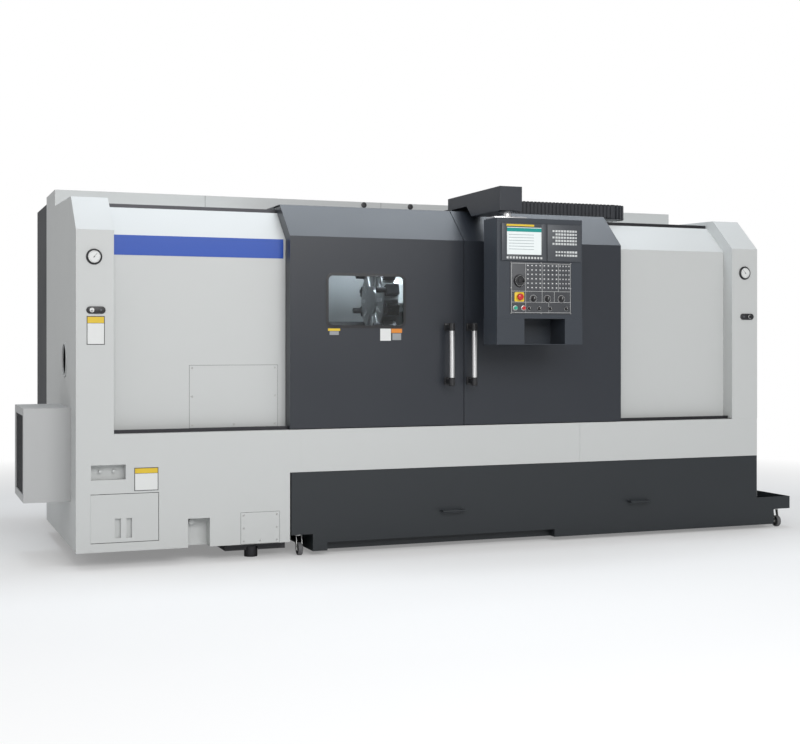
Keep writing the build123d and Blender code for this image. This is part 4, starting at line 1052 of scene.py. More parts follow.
@dataclass
class FrontPlates:
    """Blue band, blank notice plates and screwed access covers on the front, with a painted shadow round each
    cover.
    """

    band: Span = (0.206, 1.205, 1.740, 1.853)
    recess_cover: Span = (0.648, 1.169, 0.758, 1.116)
    skirt_cover: Span = (0.925, 1.153, 0.092, 0.271)
    notices: tuple[Span, ...] = (
        (0.058, 0.156, 1.235, 1.393),
        (0.318, 0.452, 0.421, 0.550),
    )
    recess: float = 0.098
    thickness: float = 0.0015
    backing: float = 0.0009
    shadow: float = 0.0003
    edge_share: float = 0.3
    border: float = 0.004
    header: float = 0.24
    screw_radius: float = 0.0055
    # Width of the painted shadow that shows round each access cover
    screw_inset: float = 0.016
    shadow_margin: float = 0.0016

    def field(self, piece: Workpiece, span: Span, depth: float, thickness: float, finish: Finish) -> None:
        """Adds a thin plate.

        Args:
            piece: The mesh that gets it.
            span: Its outline.
            depth: Depth of the sheet that it stands on.
            thickness: Its thickness.
            finish: Its finish.
        """
        low, high = at(span[0], depth - thickness, span[2]), at(span[1], depth, span[3])
        piece.box(low, high, finish, thickness * self.edge_share, 1)

    def screws(self, piece: Workpiece, span: Span, depth: float) -> None:
        """Adds screws at the corners and at the middles of three sides.

        Args:
            piece: The mesh that gets them.
            span: Outline of the cover that they hold.
            depth: Depth of the cover's face.
        """
        inset = self.screw_inset
        left, right = span[0] + inset, span[1] - inset
        low, high = span[2] + inset, span[3] - inset
        places = [(x, z) for x in (left, right) for z in (low, (low + high) / 2, high)]
        places.append(((left + right) / 2, low))
        points = [(at(x, 0, 0).x, z, 0.0) for x, z in places]
        turn = Matrix.Translation((0, FRONT_PLANE + depth, 0)) @ Matrix.Rotation(math.pi / 2, 4, "X")
        piece.add_mesh(screws_mesh(points, self.screw_radius, Finish.ZINC), Finish.ZINC, turn)

    def notice(self, piece: Workpiece, span: Span) -> None:
        """Adds a blank notice plate with a yellow header.

        Args:
            piece: The mesh that gets it.
            span: Its outline.
        """
        left, right, low, high = span
        edge = self.border
        split = high - (high - low) * self.header
        header = (left + edge, right - edge, split, high - edge)
        body = (left + edge, right - edge, low + edge, split - edge / 2)
        self.field(piece, span, 0.0, self.backing, Finish.DARK_FIELD)
        self.field(piece, header, 0.0, self.thickness, Finish.YELLOW_FIELD)
        self.field(piece, body, 0.0, self.thickness, Finish.WHITE_FIELD)

    def build(self) -> None:
        """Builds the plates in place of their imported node."""
        plates = Workpiece("front_fields")
        self.field(plates, self.band, self.recess, self.thickness, Finish.BLUE_PAINT)
        for span in self.notices:
            self.notice(plates, span)
        fields = plates.finish("machine")
        placed = ((self.recess_cover, self.recess), (self.skirt_cover, 0.0))
        covers = Workpiece("access_covers")
        # Painted shadow: a dark field a little larger than each cover lies under it and shows as a dark
        # outline round it
        for span, depth in placed:
            margin = self.shadow_margin
            shadow_span = (span[0] - margin, span[1] + margin, span[2] - margin, span[3] + margin)
            self.field(covers, shadow_span, depth, self.shadow, Finish.DARK_FIELD)
        for span, depth in placed:
            self.field(covers, span, depth, self.thickness, Finish.LIGHT_PAINT)
            self.screws(covers, span, depth - self.thickness)
        covers.finish("machine")
        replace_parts(fields, "front_plates")


@dataclass
class PressureGauge:
    """Dial gauge in a black flange."""

    name: str
    x: float
    z: float
    radius: float = 0.044
    depth: float = 0.014
    dial_radius: float = 0.036
    marks: int = 36
    needle_angle: float = 50.0
    needle_radius: float = 0.0007
    printed: float = 0.0003

    def build(self) -> bpy.types.Object:
        """Builds the gauge.

        Returns:
            The gauge's object.
        """
        piece = Workpiece(self.name)
        place = at(self.x, 0.0, self.z)
        rim, dial, depth = self.radius, self.dial_radius, self.depth
        profile = [
            (rim, 0.0), (rim, 0.004), (rim * 0.95, 0.0055), (dial * 1.06, 0.006),
            (dial * 1.06, depth - 0.001), (dial * 1.02, depth), (dial * 0.96, depth - 0.001),
            (dial * 0.94, depth - 0.004), (0.0, depth - 0.004),
        ]
        piece.revolve(profile, place, Facing.FRONT, Finish.BLACK_PLASTIC, 40)
        front = place + Vector((0, -(depth - 0.0038), 0))
        piece.disc(front, Facing.FRONT, dial * 0.93, 0.0005, Finish.WHITE_FIELD)
        mark = (dial * 0.10, dial * 0.022, self.printed)
        marks = ring_mesh(self.marks, dial * 0.80, mark, Finish.DARK_FIELD)
        piece.add_mesh(marks, Finish.DARK_FIELD, Facing.FRONT.matrix(front + Vector((0, -0.0006, 0))))
        angle = math.radians(self.needle_angle)
        along = Vector((math.cos(angle), 0, math.sin(angle))) * dial
        pivot = front + Vector((0, -0.0012, 0))
        piece.tube((pivot - along * 0.22, pivot + along * 0.72), self.needle_radius, Finish.DARK_FIELD, 6)
        piece.disc(front, Facing.FRONT, 0.0035, 0.0022, Finish.BLACK_PLASTIC, 0.001)
        return piece.finish("machine")


@dataclass
class SwitchPlate:
    """Oval black plate with a key switch or a knob."""

    name: str
    x: float
    z: float
    side: float
    keyed: bool
    length: float = 0.104
    height: float = 0.040
    thickness: float = 0.006
    knob_shift: float = 0.022
    lamp_shift: float = 0.026
    collar: Profile = ((0.0135, 0.0), (0.0135, 0.002), (0.012, 0.0032), (0.0, 0.0032))
    grip: Profile = ((0.011, 0.003), (0.0115, 0.012), (0.0105, 0.0155), (0.0, 0.016))

    def build(self) -> bpy.types.Object:
        """Builds the plate.

        Returns:
            The plate's object.
        """
        piece = Workpiece(self.name)
        place = at(self.x, 0.0, self.z)
        outline = rounded(self.length, self.height, self.height * 0.49, 8)
        piece.plate(outline, place, self.thickness, Finish.BLACK_PLASTIC, 0.0015)
        knob = place + Vector((self.side * self.knob_shift, -self.thickness, 0))
        piece.revolve(self.collar, knob, Facing.FRONT, Finish.ZINC, 28)
        if self.keyed:
            head = knob + Vector((0, -0.003, 0))
            piece.disc(head, Facing.FRONT, 0.0075, 0.003, Finish.GROUND_STEEL, 0.0006)
            low, high = head + Vector((-0.0012, -0.016, -0.008)), head + Vector((0.0012, -0.003, 0.008))
            piece.box(low, high, Finish.GROUND_STEEL, 0.0008)
        else:
            piece.revolve(self.grip, knob, Facing.FRONT, Finish.BLACK_PLASTIC, 20)
        lamp = place + Vector((-self.side * self.lamp_shift, -self.thickness, 0))
        piece.disc(lamp, Facing.FRONT, 0.007, 0.003, Finish.KEY_GREY, 0.0015)
        return piece.finish("machine")


@dataclass
class DoorHandle:
    """Bright bar between two black brackets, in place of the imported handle."""

    name: str
    body: str
    x: float
    z: tuple[float, float] = (0.985, 1.365)
    centre: float = -0.0835
    radius: float = 0.0165
    bracket: tuple[float, float] = (0.034, 0.046)
    brackets: tuple[float, float] = (0.990, 1.318)
    foot: float = 0.012
    cap: float = 0.030
    edge: float = 0.003
    collar_wall: float = 0.0022
    arm_inset: float = 0.008

    def build(self) -> None:
        """Builds the handle."""
        piece = Workpiece(self.name + "_bar")
        low, high = self.z
        base = at(self.x, self.centre, low)
        length, cap, edge, r = high - low, self.cap, self.edge, self.radius
        tube = [(0.0, cap), (r * 0.97, cap), (r * 0.97, length - cap), (0.0, length - cap)]
        piece.revolve(tube, base, Facing.UP, Finish.HANDLE_TUBE, 32)
        for start, end in ((0.0, cap), (length - cap, length)):
            ring = [(0.0, start), (r - edge, start), (r, start + edge)]
            ring += [(r, end - edge), (r - edge, end), (0.0, end)]
            piece.revolve(ring, base, Facing.UP, Finish.BLACK_PLASTIC, 32)
        width, height = self.bracket
        arm, outer = r * 0.75, r + self.collar_wall
        for z in self.brackets:
            left, right = self.x - width / 2, self.x + width / 2
            piece.box(at(left, -self.foot, z), at(right, 0.0, z + height), Finish.BLACK_PLASTIC, edge, 3)
            arm_low = at(self.x - arm, self.centre, z + self.arm_inset)
            arm_high = at(self.x + arm, -self.foot / 2, z + height - self.arm_inset)
            piece.box(arm_low, arm_high, Finish.BLACK_PLASTIC, edge, 3)
            collar = [(r, 0.0), (outer, 0.002), (outer, height - 0.002), (r, height)]
            piece.revolve(collar, at(self.x, self.centre, z), Facing.UP, Finish.BLACK_PLASTIC, 32)
        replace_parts(piece.finish(self.body), self.name)


@dataclass
class WindowTrim:
    """Rubber gasket and small blank plates of the left door."""

    x: tuple[float, float] = (1.448, 1.927)
    z: tuple[float, float] = (1.345, 1.645)
    corner: float = 0.030
    lip: float = 0.012
    tuck: float = 0.004
    plate_thickness: float = 0.0008
    plates: tuple[tuple[float, float, float, float, Finish], ...] = (
        (1.448, 1.523, 1.316, 1.330, Finish.YELLOW_FIELD),
        (1.458, 1.515, 1.292, 1.314, Finish.GREY_FIELD),
        (1.775, 1.843, 1.258, 1.330, Finish.WHITE_FIELD),
        (1.846, 1.914, 1.305, 1.330, Finish.ORANGE_FIELD),
        (1.852, 1.908, 1.262, 1.302, Finish.GREY_FIELD),
    )

    def gasket(self) -> None:
        """Builds the gasket round the window."""
        piece = Workpiece("window_gasket")
        middle = at(sum(self.x) / 2, 0.0, sum(self.z) / 2)
        width, height = self.x[1] - self.x[0], self.z[1] - self.z[0]
        outer = rounded(width + 2 * self.lip, height + 2 * self.lip, self.corner + self.lip)
        inner = rounded(width - 2 * self.tuck, height - 2 * self.tuck, self.corner - self.tuck)
        ring = bmesh.new()
        levels = ((outer, 0.0), (outer, -0.0025), (inner, -0.0035), (inner, 0.007))
        loops = [[ring.verts.new(middle + Vector((a, y, b))) for a, b in line] for line, y in levels]
        count = len(outer)
        for first, second in zip(loops, loops[1:] + loops[:1]):
            for i in range(count):
                j = (i + 1) % count
                ring.faces.new((first[i], first[j], second[j], second[i]))
        piece.add_part(ring, Finish.BLACK_PLASTIC)
        piece.finish("left_door")

    def build(self) -> None:
        """Builds the trim on the left door."""
        self.gasket()
        labels = Workpiece("door_labels")
        for left, right, low, high, finish in self.plates:
            labels.box(at(left, -self.plate_thickness, low), at(right, 0.0, high), finish, 0.0002, 1)
        labels.finish("left_door")


@dataclass
class Pendant:
    """Screen unit, keypad, switch panel and its controls."""

    screen: tuple[float, float] = (2.380, 2.674)
    keypad: tuple[float, float] = (2.678, 2.904)
    units: tuple[float, float] = (1.728, 1.946)
    panel: Span = (2.438, 2.840, 1.415, 1.721)
    face: float = -0.400
    proud: float = 0.010
    plate: float = 0.004
    printed: float = 0.0002
    bezel_side: float = 0.034
    bezel_low: float = 0.036
    bezel_high: float = 0.022
    bezel_thickness: float = 0.004
    glass_depth: float = 0.0028
    title_band: tuple[float, float] = (0.026, 0.004)
    screen_lines: int = 6
    first_line: float = 0.045
    line_pitch: float = 0.017
    line_height: float = 0.0025
    line_ends: tuple[float, float] = (0.012, 0.050)
    strip_length: float = 0.180
    strip_levels: tuple[float, float] = (0.016, 0.005)
    columns: tuple[float, ...] = (2.446, 2.538, 2.646, 2.754, 2.834)
    rows: tuple[float, ...] = (1.713, 1.549, 1.485, 1.424)
    short_columns: tuple[float, float] = (2.646, 2.727)
    split_column: float = 2.690
    rule: float = 0.0014
    screw_columns: tuple[float, ...] = (2.442, 2.639, 2.837)
    screw_rows: tuple[float, ...] = (1.419, 1.568, 1.718)
    key_count: tuple[int, int] = (4, 6)
    key_level: float = 1.634
    key_pitch: float = 0.026
    key_thickness: float = 0.0018
    knobs: tuple[float, ...] = (2.588, 2.680, 2.773)
    knob_level: float = 1.505
    small_knobs: tuple[float, ...] = (2.562, 2.628, 2.700, 2.806)
    small_knob_level: float = 1.447
    guard: tuple[float, float, float] = (0.062, 0.056, 0.008)
    dial_radius: float = 0.0385
    stop: tuple[float, float] = (2.496, 1.515)
    wheel: tuple[float, float] = (2.496, 1.609)
    start_button: tuple[float, float] = (2.470, 1.450)
    stop_button: tuple[float, float] = (2.523, 1.450)
    swivel: Point = (2.471, -0.290, 1.978)

    def screen_face(self, piece: Workpiece, front: float) -> None:
        """Adds the bezel, the lit screen and its coloured fields.

        Args:
            piece: The screen unit's mesh.
            front: Depth of its front.
        """
        low, high = self.units
        left, right = self.screen
        inner = (left + self.bezel_side, right - self.bezel_side)
        sill, top = low + self.bezel_low, high - self.bezel_high
        sides = ((left, inner[0], low, high), (inner[1], right, low, high))
        for span in (*sides, (*inner, low, sill), (*inner, top, high)):
            corner = at(span[1], front + self.bezel_thickness, span[3])
            piece.box(at(span[0], front, span[2]), corner, Finish.CONTROL_PLASTIC, 0.0012)
        glass = front + self.glass_depth
        raised = glass - self.printed
        corner = at(inner[1], front + self.bezel_thickness, top)
        piece.box(at(inner[0], glass, sill), corner, Finish.SCREEN_WHITE)
        band_low, band_high = top - self.title_band[0], top - self.title_band[1]
        piece.box(at(inner[0], raised, band_low), at(inner[1], glass, band_high), Finish.SCREEN_TEAL)
        start, end = inner[0] + self.line_ends[0], inner[1] - self.line_ends[1]
        for i in range(self.screen_lines):
            z = top - self.first_line - i * self.line_pitch
            piece.box(at(start, raised, z), at(end, glass, z + self.line_height), Finish.SCREEN_LINE)
        strip = inner[0] - self.bezel_thickness
        corner = at(strip, front - 2 * self.printed, high - self.strip_levels[0])
        end = at(strip + self.strip_length, front, high - self.strip_levels[1])
        piece.box(corner, end, Finish.YELLOW_FIELD)

    def screen_unit(self) -> None:
        """Builds the screen unit and the keypad unit in place of their node."""
        low, high = self.units
        front = self.face - self.proud
        piece = Workpiece("screen_unit")
        left, right = self.screen
        piece.box(at(left, front + 0.003, low), at(right, self.face, high), Finish.CONTROL_PLASTIC, 0.002)
        self.screen_face(piece, front)
        keys = keys_mesh((12, 1), (0.0200, 0.01), (0.0125, 0.0125, 0.002), Finish.KEY_PLASTIC)
        centre = at((left + right) / 2, front, low + 0.017)
        piece.add_mesh(keys, Finish.KEY_PLASTIC, Facing.FRONT.matrix(centre))
        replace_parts(piece.finish("pendant"), "control_units")
        pad = Workpiece("keypad_unit")
        left, right = self.keypad
        pad.box(at(left, front, low), at(right, self.face, high), Finish.CONTROL_PLASTIC, 0.002)
        middle, upper, lower = (left + right) / 2, high - 0.076, low + 0.046
        groups = (
            ((1, 3), (0.019, 0.038), (0.013, 0.011, 0.002), middle - 0.073, upper),
            ((4, 5), (0.0185, 0.019), (0.0145, 0.0125, 0.002), middle - 0.025, upper),
            ((3, 5), (0.0185, 0.019), (0.0145, 0.0125, 0.002), middle + 0.041, upper),
            ((1, 5), (0.019, 0.019), (0.0110, 0.0110, 0.002), middle + 0.077, upper),
            ((4, 2), (0.0185, 0.020), (0.0120, 0.0110, 0.002), middle - 0.025, lower),
            ((4, 2), (0.0185, 0.020), (0.0145, 0.0125, 0.002), middle + 0.050, lower),
        )
        for count, pitch, key, x, z in groups:
            field = keys_mesh(count, pitch, key, Finish.KEY_PLASTIC)
            pad.add_mesh(field, Finish.KEY_PLASTIC, Facing.FRONT.matrix(at(x, front, z)))
        pad.finish("pendant")

    def rules(self, piece: Workpiece, front: float) -> None:
        """Adds the white lines that divide the switch panel, and its screws.

        Args:
            piece: The panel's mesh.
            front: Depth of its face.
        """
        top, middle, lower, bottom = self.rows
        half, raised = self.rule / 2, front - self.printed
        first, second, *_, last = self.columns
        upright = [(x, bottom if x in (first, second, last) else middle, top) for x in self.columns]
        upright += [(x, lower, middle) for x in self.short_columns]
        upright.append((self.split_column, bottom, lower))
        for x, low, high in upright:
            piece.box(at(x - half, raised, low), at(x + half, front, high), Finish.WHITE_FIELD)
        for z in self.rows:
            piece.box(at(first, raised, z - half), at(last, front, z + half), Finish.WHITE_FIELD)
        for x in self.screw_columns:
            for z in self.screw_rows:
                piece.disc(at(x, front, z), Facing.FRONT, 0.0026, 0.0012, Finish.ZINC, 0.0006)

    def knob(self, piece: Workpiece, place: Vector, radius: float, length: float) -> None:
        """Adds a rotary switch with a dial ring and a pointer.

        Args:
            piece: The panel's mesh.
            place: Its middle on the panel's face.
            radius: Its radius.
            length: Its length.
        """
        piece.disc(place, Facing.FRONT, radius * 1.55, 0.0006, Finish.DARK_FIELD)
        marks = ring_mesh(20, radius * 1.32, (radius * 0.26, radius * 0.12, 0.0004), Finish.WHITE_FIELD)
        piece.add_mesh(marks, Finish.WHITE_FIELD, Facing.FRONT.matrix(place + Vector((0, -0.001, 0))))
        skirt = [(radius, 0.0008), (radius, 0.005), (radius * 0.82, 0.0065), (radius * 0.80, length * 0.92)]
        skirt += [(radius * 0.72, length), (0.0, length)]
        piece.revolve(skirt, place, Facing.FRONT, Finish.BLACK_PLASTIC, 24)
        low = place + Vector((-0.0009, -length - 0.0006, 0))
        piece.box(low, place + Vector((0.0009, -length + 0.001, radius * 0.7)), Finish.WHITE_FIELD)

    def key_fields(self, piece: Workpiece, front: float) -> None:
        """Adds the grey key fields with their white marks.

        Args:
            piece: The panel's mesh.
            front: Depth of its face.
        """
        count, thickness = self.key_count, self.key_thickness
        for left, right in zip(self.columns[1:], self.columns[2:]):
            place = at((left + right) / 2, front, self.key_level)
            pitch = ((right - left) / count[0], self.key_pitch)
            caps = keys_mesh(count, pitch, (pitch[0] * 0.76, 0.019, thickness), Finish.KEY_GREY)
            piece.add_mesh(caps, Finish.KEY_GREY, Facing.FRONT.matrix(place))
            marks = keys_mesh(count, pitch, (pitch[0] * 0.30, 0.006, self.printed), Finish.WHITE_FIELD)
            lifted = place + Vector((0, -thickness, 0.002))
            piece.add_mesh(marks, Finish.WHITE_FIELD, Facing.FRONT.matrix(lifted))

    def switch_panel(self) -> None:
        """Builds the switch panel with its fixed knobs and key fields."""
        piece = Workpiece("switch_plate")
        left, right, low, high = self.panel
        front = self.face - self.plate
        piece.box(at(left, front, low), at(right, self.face, high), Finish.PANEL_GREY, 0.001)
        self.key_fields(piece, front)
        self.rules(piece, front)
        for x in self.knobs:
            self.knob(piece, at(x, front, self.knob_level), 0.0165, 0.018)
        for x in self.small_knobs:
            self.knob(piece, at(x, front, self.small_knob_level), 0.0090, 0.0135)
        guard = rounded(*self.guard)
        piece.plate(guard, at(self.stop[0], front, self.stop[1]), 0.0009, Finish.SIGNAL_YELLOW, 0.0003)
        dial = [(self.dial_radius, 0.0), (self.dial_radius, self.printed)]
        piece.revolve(dial, at(self.wheel[0], front, self.wheel[1]), Facing.FRONT, Finish.DARK_FIELD, 40)
        for x, z in (self.start_button, self.stop_button):
            ring = [(0.0150, 0.0), (0.0150, 0.002), (0.0125, 0.0025)]
            piece.revolve(ring, at(x, front, z), Facing.FRONT, Finish.ZINC, 28)
        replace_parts(piece.finish("pendant"), "switch_panel")

    def emergency_stop(self, front: float) -> None:
        """Builds the mushroom head.

        Args:
            front: Depth of the panel's face.
        """
        piece = Workpiece("stop_mushroom")
        head = [(0.011, 0.004), (0.011, 0.0093), (0.0185, 0.0093), (0.0200, 0.0125), (0.0200, 0.018)]
        head += [(0.0185, 0.0230), (0.0150, 0.0258), (0.0080, 0.0271), (0.0, 0.0273)]
        piece.revolve(head, at(self.stop[0], front, self.stop[1]), Facing.FRONT, Finish.SIGNAL_RED, 36)
        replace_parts(piece.finish("emergency_stop"), "emergency_stop")

    def handwheel(self, front: float) -> None:
        """Builds the handwheel with its dial and its spinner.

        Args:
            front: Depth of the panel's face.
        """
        piece = Workpiece("pulse_handwheel")
        base = at(self.wheel[0], front - 0.0003, self.wheel[1])
        rim = [(0.0335, 0.0), (0.0340, 0.002), (0.0340, 0.009), (0.0325, 0.0125), (0.0290, 0.0140)]
        rim += [(0.0265, 0.0130), (0.0255, 0.0105), (0.0120, 0.0100), (0.0110, 0.0135), (0.0, 0.0140)]
        piece.revolve(rim, base, Facing.FRONT, Finish.BLACK_PLASTIC, 48)
        dial = ring_mesh(50, 0.0300, (0.0035, 0.0006, 0.0004), Finish.WHITE_FIELD)
        piece.add_mesh(dial, Finish.WHITE_FIELD, Facing.FRONT.matrix(base + Vector((0, -0.0139, 0))))
        spinner = [(0.0060, 0.0), (0.0050, 0.003), (0.0046, 0.008)]
        spinner += [(0.0058, 0.0130), (0.0050, 0.0165), (0.0, 0.0175)]
        place = base + Vector((0.022, -0.0100, 0))
        piece.revolve(spinner, place, Facing.FRONT, Finish.BLACK_PLASTIC, 18)
        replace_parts(piece.finish("handwheel"), "handwheel")

    def push_button(self, name: str, place: tuple[float, float], front: float, finish: Finish) -> None:
        """Builds a push button's cap.

        Args:
            name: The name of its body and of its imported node.
            place: Its length and height.
            front: Depth of the panel's face.
            finish: Its finish.
        """
        piece = Workpiece(name + "_cap")
        profile = [(0.008, 0.0), (0.008, 0.0033), (0.0105, 0.0033), (0.0110, 0.0060), (0.0108, 0.0110)]
        profile += [(0.0098, 0.0122), (0.0085, 0.0118), (0.0, 0.0112)]
        piece.revolve(profile, at(place[0], front, place[1]), Facing.FRONT, finish, 28)
        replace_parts(piece.finish(name), name)

    def neck(self) -> None:
        """Builds the bright swivel bracket between the beam and the housing."""
        piece = Workpiece("swivel_bracket")
        place = at(*self.swivel)
        profile = [(0.060, 0.0), (0.060, 0.006), (0.052, 0.010), (0.030, 0.013), (0.0235, 0.016)]
        profile += [(0.0235, 0.038), (0.047, 0.0385), (0.048, 0.0445), (0.0225, 0.0470)]
        piece.revolve(profile, place, Facing.UP, Finish.ALUMINIUM, 40)
        piece.box(at(2.362, -0.352, 1.9785), at(2.570, -0.228, 1.9905), Finish.ALUMINIUM, 0.002)
        circle, head, level = 0.046, 0.005, 0.0135
        points = []
        for i in range(4):
            angle = math.pi / 4 + i * math.pi / 2
            points.append(place + Vector((circle * math.cos(angle), circle * math.sin(angle), level)))
        piece.add_mesh(screws_mesh(points, head, Finish.BLACK_STEEL), Finish.BLACK_STEEL)
        piece.finish("pendant")

    def build(self) -> None:
        """Builds the pendant's pieces."""
        front = self.face - self.plate
        self.screen_unit()
        self.switch_panel()
        self.emergency_stop(front)
        self.handwheel(front)
        self.push_button("start_button", self.start_button, front, Finish.SIGNAL_GREEN)
        self.push_button("stop_button", self.stop_button, front, Finish.SIGNAL_RED)
        self.neck()


@dataclass
class DragChain:
    """Cable chain that lies on its side: two runs and a bend, all of the same links."""

    beam_side: float = 2.543
    bend: float = 3.540
    fixed: float = 3.080
    front_depth: float = 0.322
    radius: float = 0.110
    bottom: float = 2.0713
    height: float = 0.092
    width: float = 0.044
    pitch: float = 0.0265
    wall: float = 0.005
    bend_points: int = 25
    clamp_length: float = 0.020
    clamp_levels: tuple[float, float] = (2.071, 2.1633)

    def links(self, name: str, route: Sequence[Vector]) -> bpy.types.Mesh:
        """Makes links along a route.

        Args:
            name: Name of the tree.
            route: The route's points.

        Returns:
            The links' mesh.
        """
        curve = bpy.data.curves.new(name, "CURVE")
        curve.dimensions = "3D"
        spline = curve.splines.new("POLY")
        spline.points.add(len(route) - 1)
        for point, place in zip(spline.points, route):
            point.co = (*place, 1)
        repeat = Repeat(name)
        length = repeat.size("Link pitch", self.pitch)
        inputs = {"Curve": repeat.entry.outputs[0], "Length": length}
        sampled = repeat.node("GeometryNodeCurveToPoints", {"mode": "LENGTH"}, inputs)
        pitch, wall, width, height = self.pitch, self.wall, self.width, self.height
        inner, outer, cover = width / 2 - wall * 1.5, width / 2 - wall / 2, height / 2 - wall / 2
        sides = (1, -1)
        parts = [repeat.box((pitch * 0.98, wall, height * 0.86), (0.0, side * inner, 0.0)) for side in sides]
        parts += [repeat.box((pitch * 0.62, wall, height), (0.0, side * outer, 0.0)) for side in sides]
        parts += [repeat.box((pitch * 0.34, width, wall), (0.0, 0.0, side * cover)) for side in sides]
        parts.append(repeat.box((pitch * 1.04, width * 0.5, height * 0.5), (0.0, 0.0, 0.0)))
        turn = repeat.node(
            "FunctionNodeAlignRotationToVector", {"axis": "X", "pivot_axis": "Z"},
            {"Vector": sampled.outputs["Tangent"]},
        )
        chain = repeat.stamp(sampled.outputs["Points"], repeat.join(parts), turn.outputs[0])
        return repeat.result(chain, Finish.CHAIN_PLASTIC, curve)

    def run(self, name: str, start: float, depth: float) -> bpy.types.Object:
        """Builds a straight run of links that ends at the bend.

        Args:
            name: The piece's name.
            start: Where it begins, from the left.
            depth: Its depth.

        Returns:
            The run's object.
        """
        level = self.bottom + self.height / 2
        inset = self.pitch / 2
        route = (at(start + inset, depth, level), at(self.bend - inset, depth, level))
        piece = Workpiece(name)
        piece.add_mesh(self.links(name, route), Finish.CHAIN_PLASTIC)
        return piece.finish(None)

    def build(self) -> None:
        """Builds the chain in place of its three nodes, and the clamp at its fixed end."""
        back_depth = self.front_depth + 2 * self.radius
        level = self.bottom + self.height / 2
        route = []
        for i in range(self.bend_points):
            angle = -math.pi / 2 + math.pi * i / (self.bend_points - 1)
            along = self.bend + self.radius * math.cos(angle)
            depth = self.front_depth + self.radius + self.radius * math.sin(angle)
            route.append(at(along, depth, level))
        bend = Workpiece("chain_bend_links")
        bend.add_mesh(self.links("chain_bend", route), Finish.CHAIN_PLASTIC)
        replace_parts(bend.finish("chain_bend"), "drag_chain_bend")
        front = self.run("chain_front_links", self.beam_side, self.front_depth)
        start = at(2 * self.bend - self.beam_side, self.front_depth, level)
        end = at(self.beam_side, self.front_depth, level)
        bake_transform(front)
        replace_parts(front, "drag_chain_front")
        back = self.run("chain_back_links", self.fixed, back_depth)
        start = at(self.fixed, back_depth, level)
        end = at(2 * self.bend - self.fixed, back_depth, level)
        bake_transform(back)
        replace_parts(back, "drag_chain_back")
        clamp = Workpiece("chain_clamp")
        low = at(self.fixed - self.clamp_length, back_depth - self.width / 2, self.clamp_levels[0])
        high = at(self.fixed, back_depth + self.width / 2, self.clamp_levels[1])
        clamp.box(low, high, Finish.ZINC, 0.002)
        clamp.finish("machine")


@dataclass
class CoolerFace:
    """Wire grille and filter mat in the oil cooler's left face."""

    depths: tuple[float, float] = (0.264, 0.729)
    z: tuple[float, float] = (0.394, 0.837)
    face: float = -0.258
    wires: int = 44
    wire: float = 0.0016
    wire_depth: float = 0.007
    filter_depth: float = 0.0175
    filter_thickness: float = 0.0025

    def build(self) -> None:
        """Builds the grille."""
        piece = Workpiece("cooler_grille")
        width, height = self.depths[1] - self.depths[0], self.z[1] - self.z[0]
        centre = at(self.face + self.wire_depth, sum(self.depths) / 2, sum(self.z) / 2)
        flat = Matrix.Rotation(math.pi / 2, 4, "Z") @ Matrix.Rotation(math.pi / 2, 4, "X")
        for length, span, turn in ((width, height, 0.0), (height, width, math.pi / 2)):
            pitch = span / (self.wires + 1)
            wires = wires_mesh(self.wires, pitch, (length, self.wire, self.wire), Finish.BLACK_STEEL)
            shift = Matrix.Translation((0, -span / 2 + pitch, 0))
            matrix = Matrix.Translation(centre) @ flat @ Matrix.Rotation(turn, 4, "Z") @ shift
            piece.add_mesh(wires, Finish.BLACK_STEEL, matrix)
        mat = self.face + self.filter_depth
        low = at(mat, self.depths[0], self.z[0])
        piece.box(low, at(mat + self.filter_thickness, self.depths[1], self.z[1]), Finish.DARK_FIELD)
        piece.finish("machine")


@dataclass
class Caster:
    """Caster wheel with a grey tread on a dark core, and the nuts of its axle."""

    side: str
    x: float
    depth: float = 0.058
    radius: float = 0.0375
    width: float = 0.026
    steps: int = 48
    nut_gap: float = 0.005
    nut: Profile = ((0.0078, 0.0), (0.0078, 0.004), (0.0070, 0.005), (0.0, 0.005))

    def tread(self) -> bmesh.types.BMesh:
        """A closed ring with rounded shoulders, about the X axis."""
        r, w = self.radius, self.width
        section = [(r * 0.80, 0.0), (r * 0.93, 0.0), (r * 0.985, 0.003), (r, 0.007), (r, w - 0.007)]
        section += [(r * 0.985, w - 0.003), (r * 0.93, w), (r * 0.80, w), (r * 0.78, w / 2)]
        ring = bmesh.new()
        rows = []
        for i in range(self.steps):
            turn = 2 * math.pi * i / self.steps
            rows.append([ring.verts.new((a, b * math.cos(turn), b * math.sin(turn))) for b, a in section])
        for first, second in zip(rows, rows[1:] + rows[:1]):
            for j in range(len(section)):
                k = (j + 1) % len(section)
                ring.faces.new((first[j], first[k], second[k], second[j]))
        return ring

    def build(self) -> None:
        """Builds the wheel in place of its node, and the axle nuts on the fork."""
        piece = Workpiece(self.side + "_wheel_dressed")
        place = at(self.x - self.width / 2, self.depth, self.radius)
        r, w = self.radius, self.width
        core = [(0.0055, 0.001), (r * 0.32, 0.0), (r * 0.36, 0.004), (r * 0.70, 0.006), (r * 0.80, 0.002)]
        core += [(r * 0.80, w - 0.002), (r * 0.70, w - 0.006), (r * 0.36, w - 0.004), (r * 0.32, w)]
        core.append((0.0055, w - 0.001))
        piece.revolve(core, place, Facing.RIGHT, Finish.WHEEL_CORE, 40)
        piece.add_part(self.tread(), Finish.TYRE, Matrix.Translation(place))
        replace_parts(piece.finish(self.side + "_wheel"), self.side + "_caster_wheel")
        nuts = Workpiece(self.side + "_axle_nuts")
        for facing, sign in ((Facing.LEFT, -1), (Facing.RIGHT, 1)):
            start = at(self.x + sign * (w / 2 + self.nut_gap), self.depth, r)
            nuts.revolve(self.nut, start, facing, Finish.ZINC, 6)
        nuts.finish(self.side + "_caster")


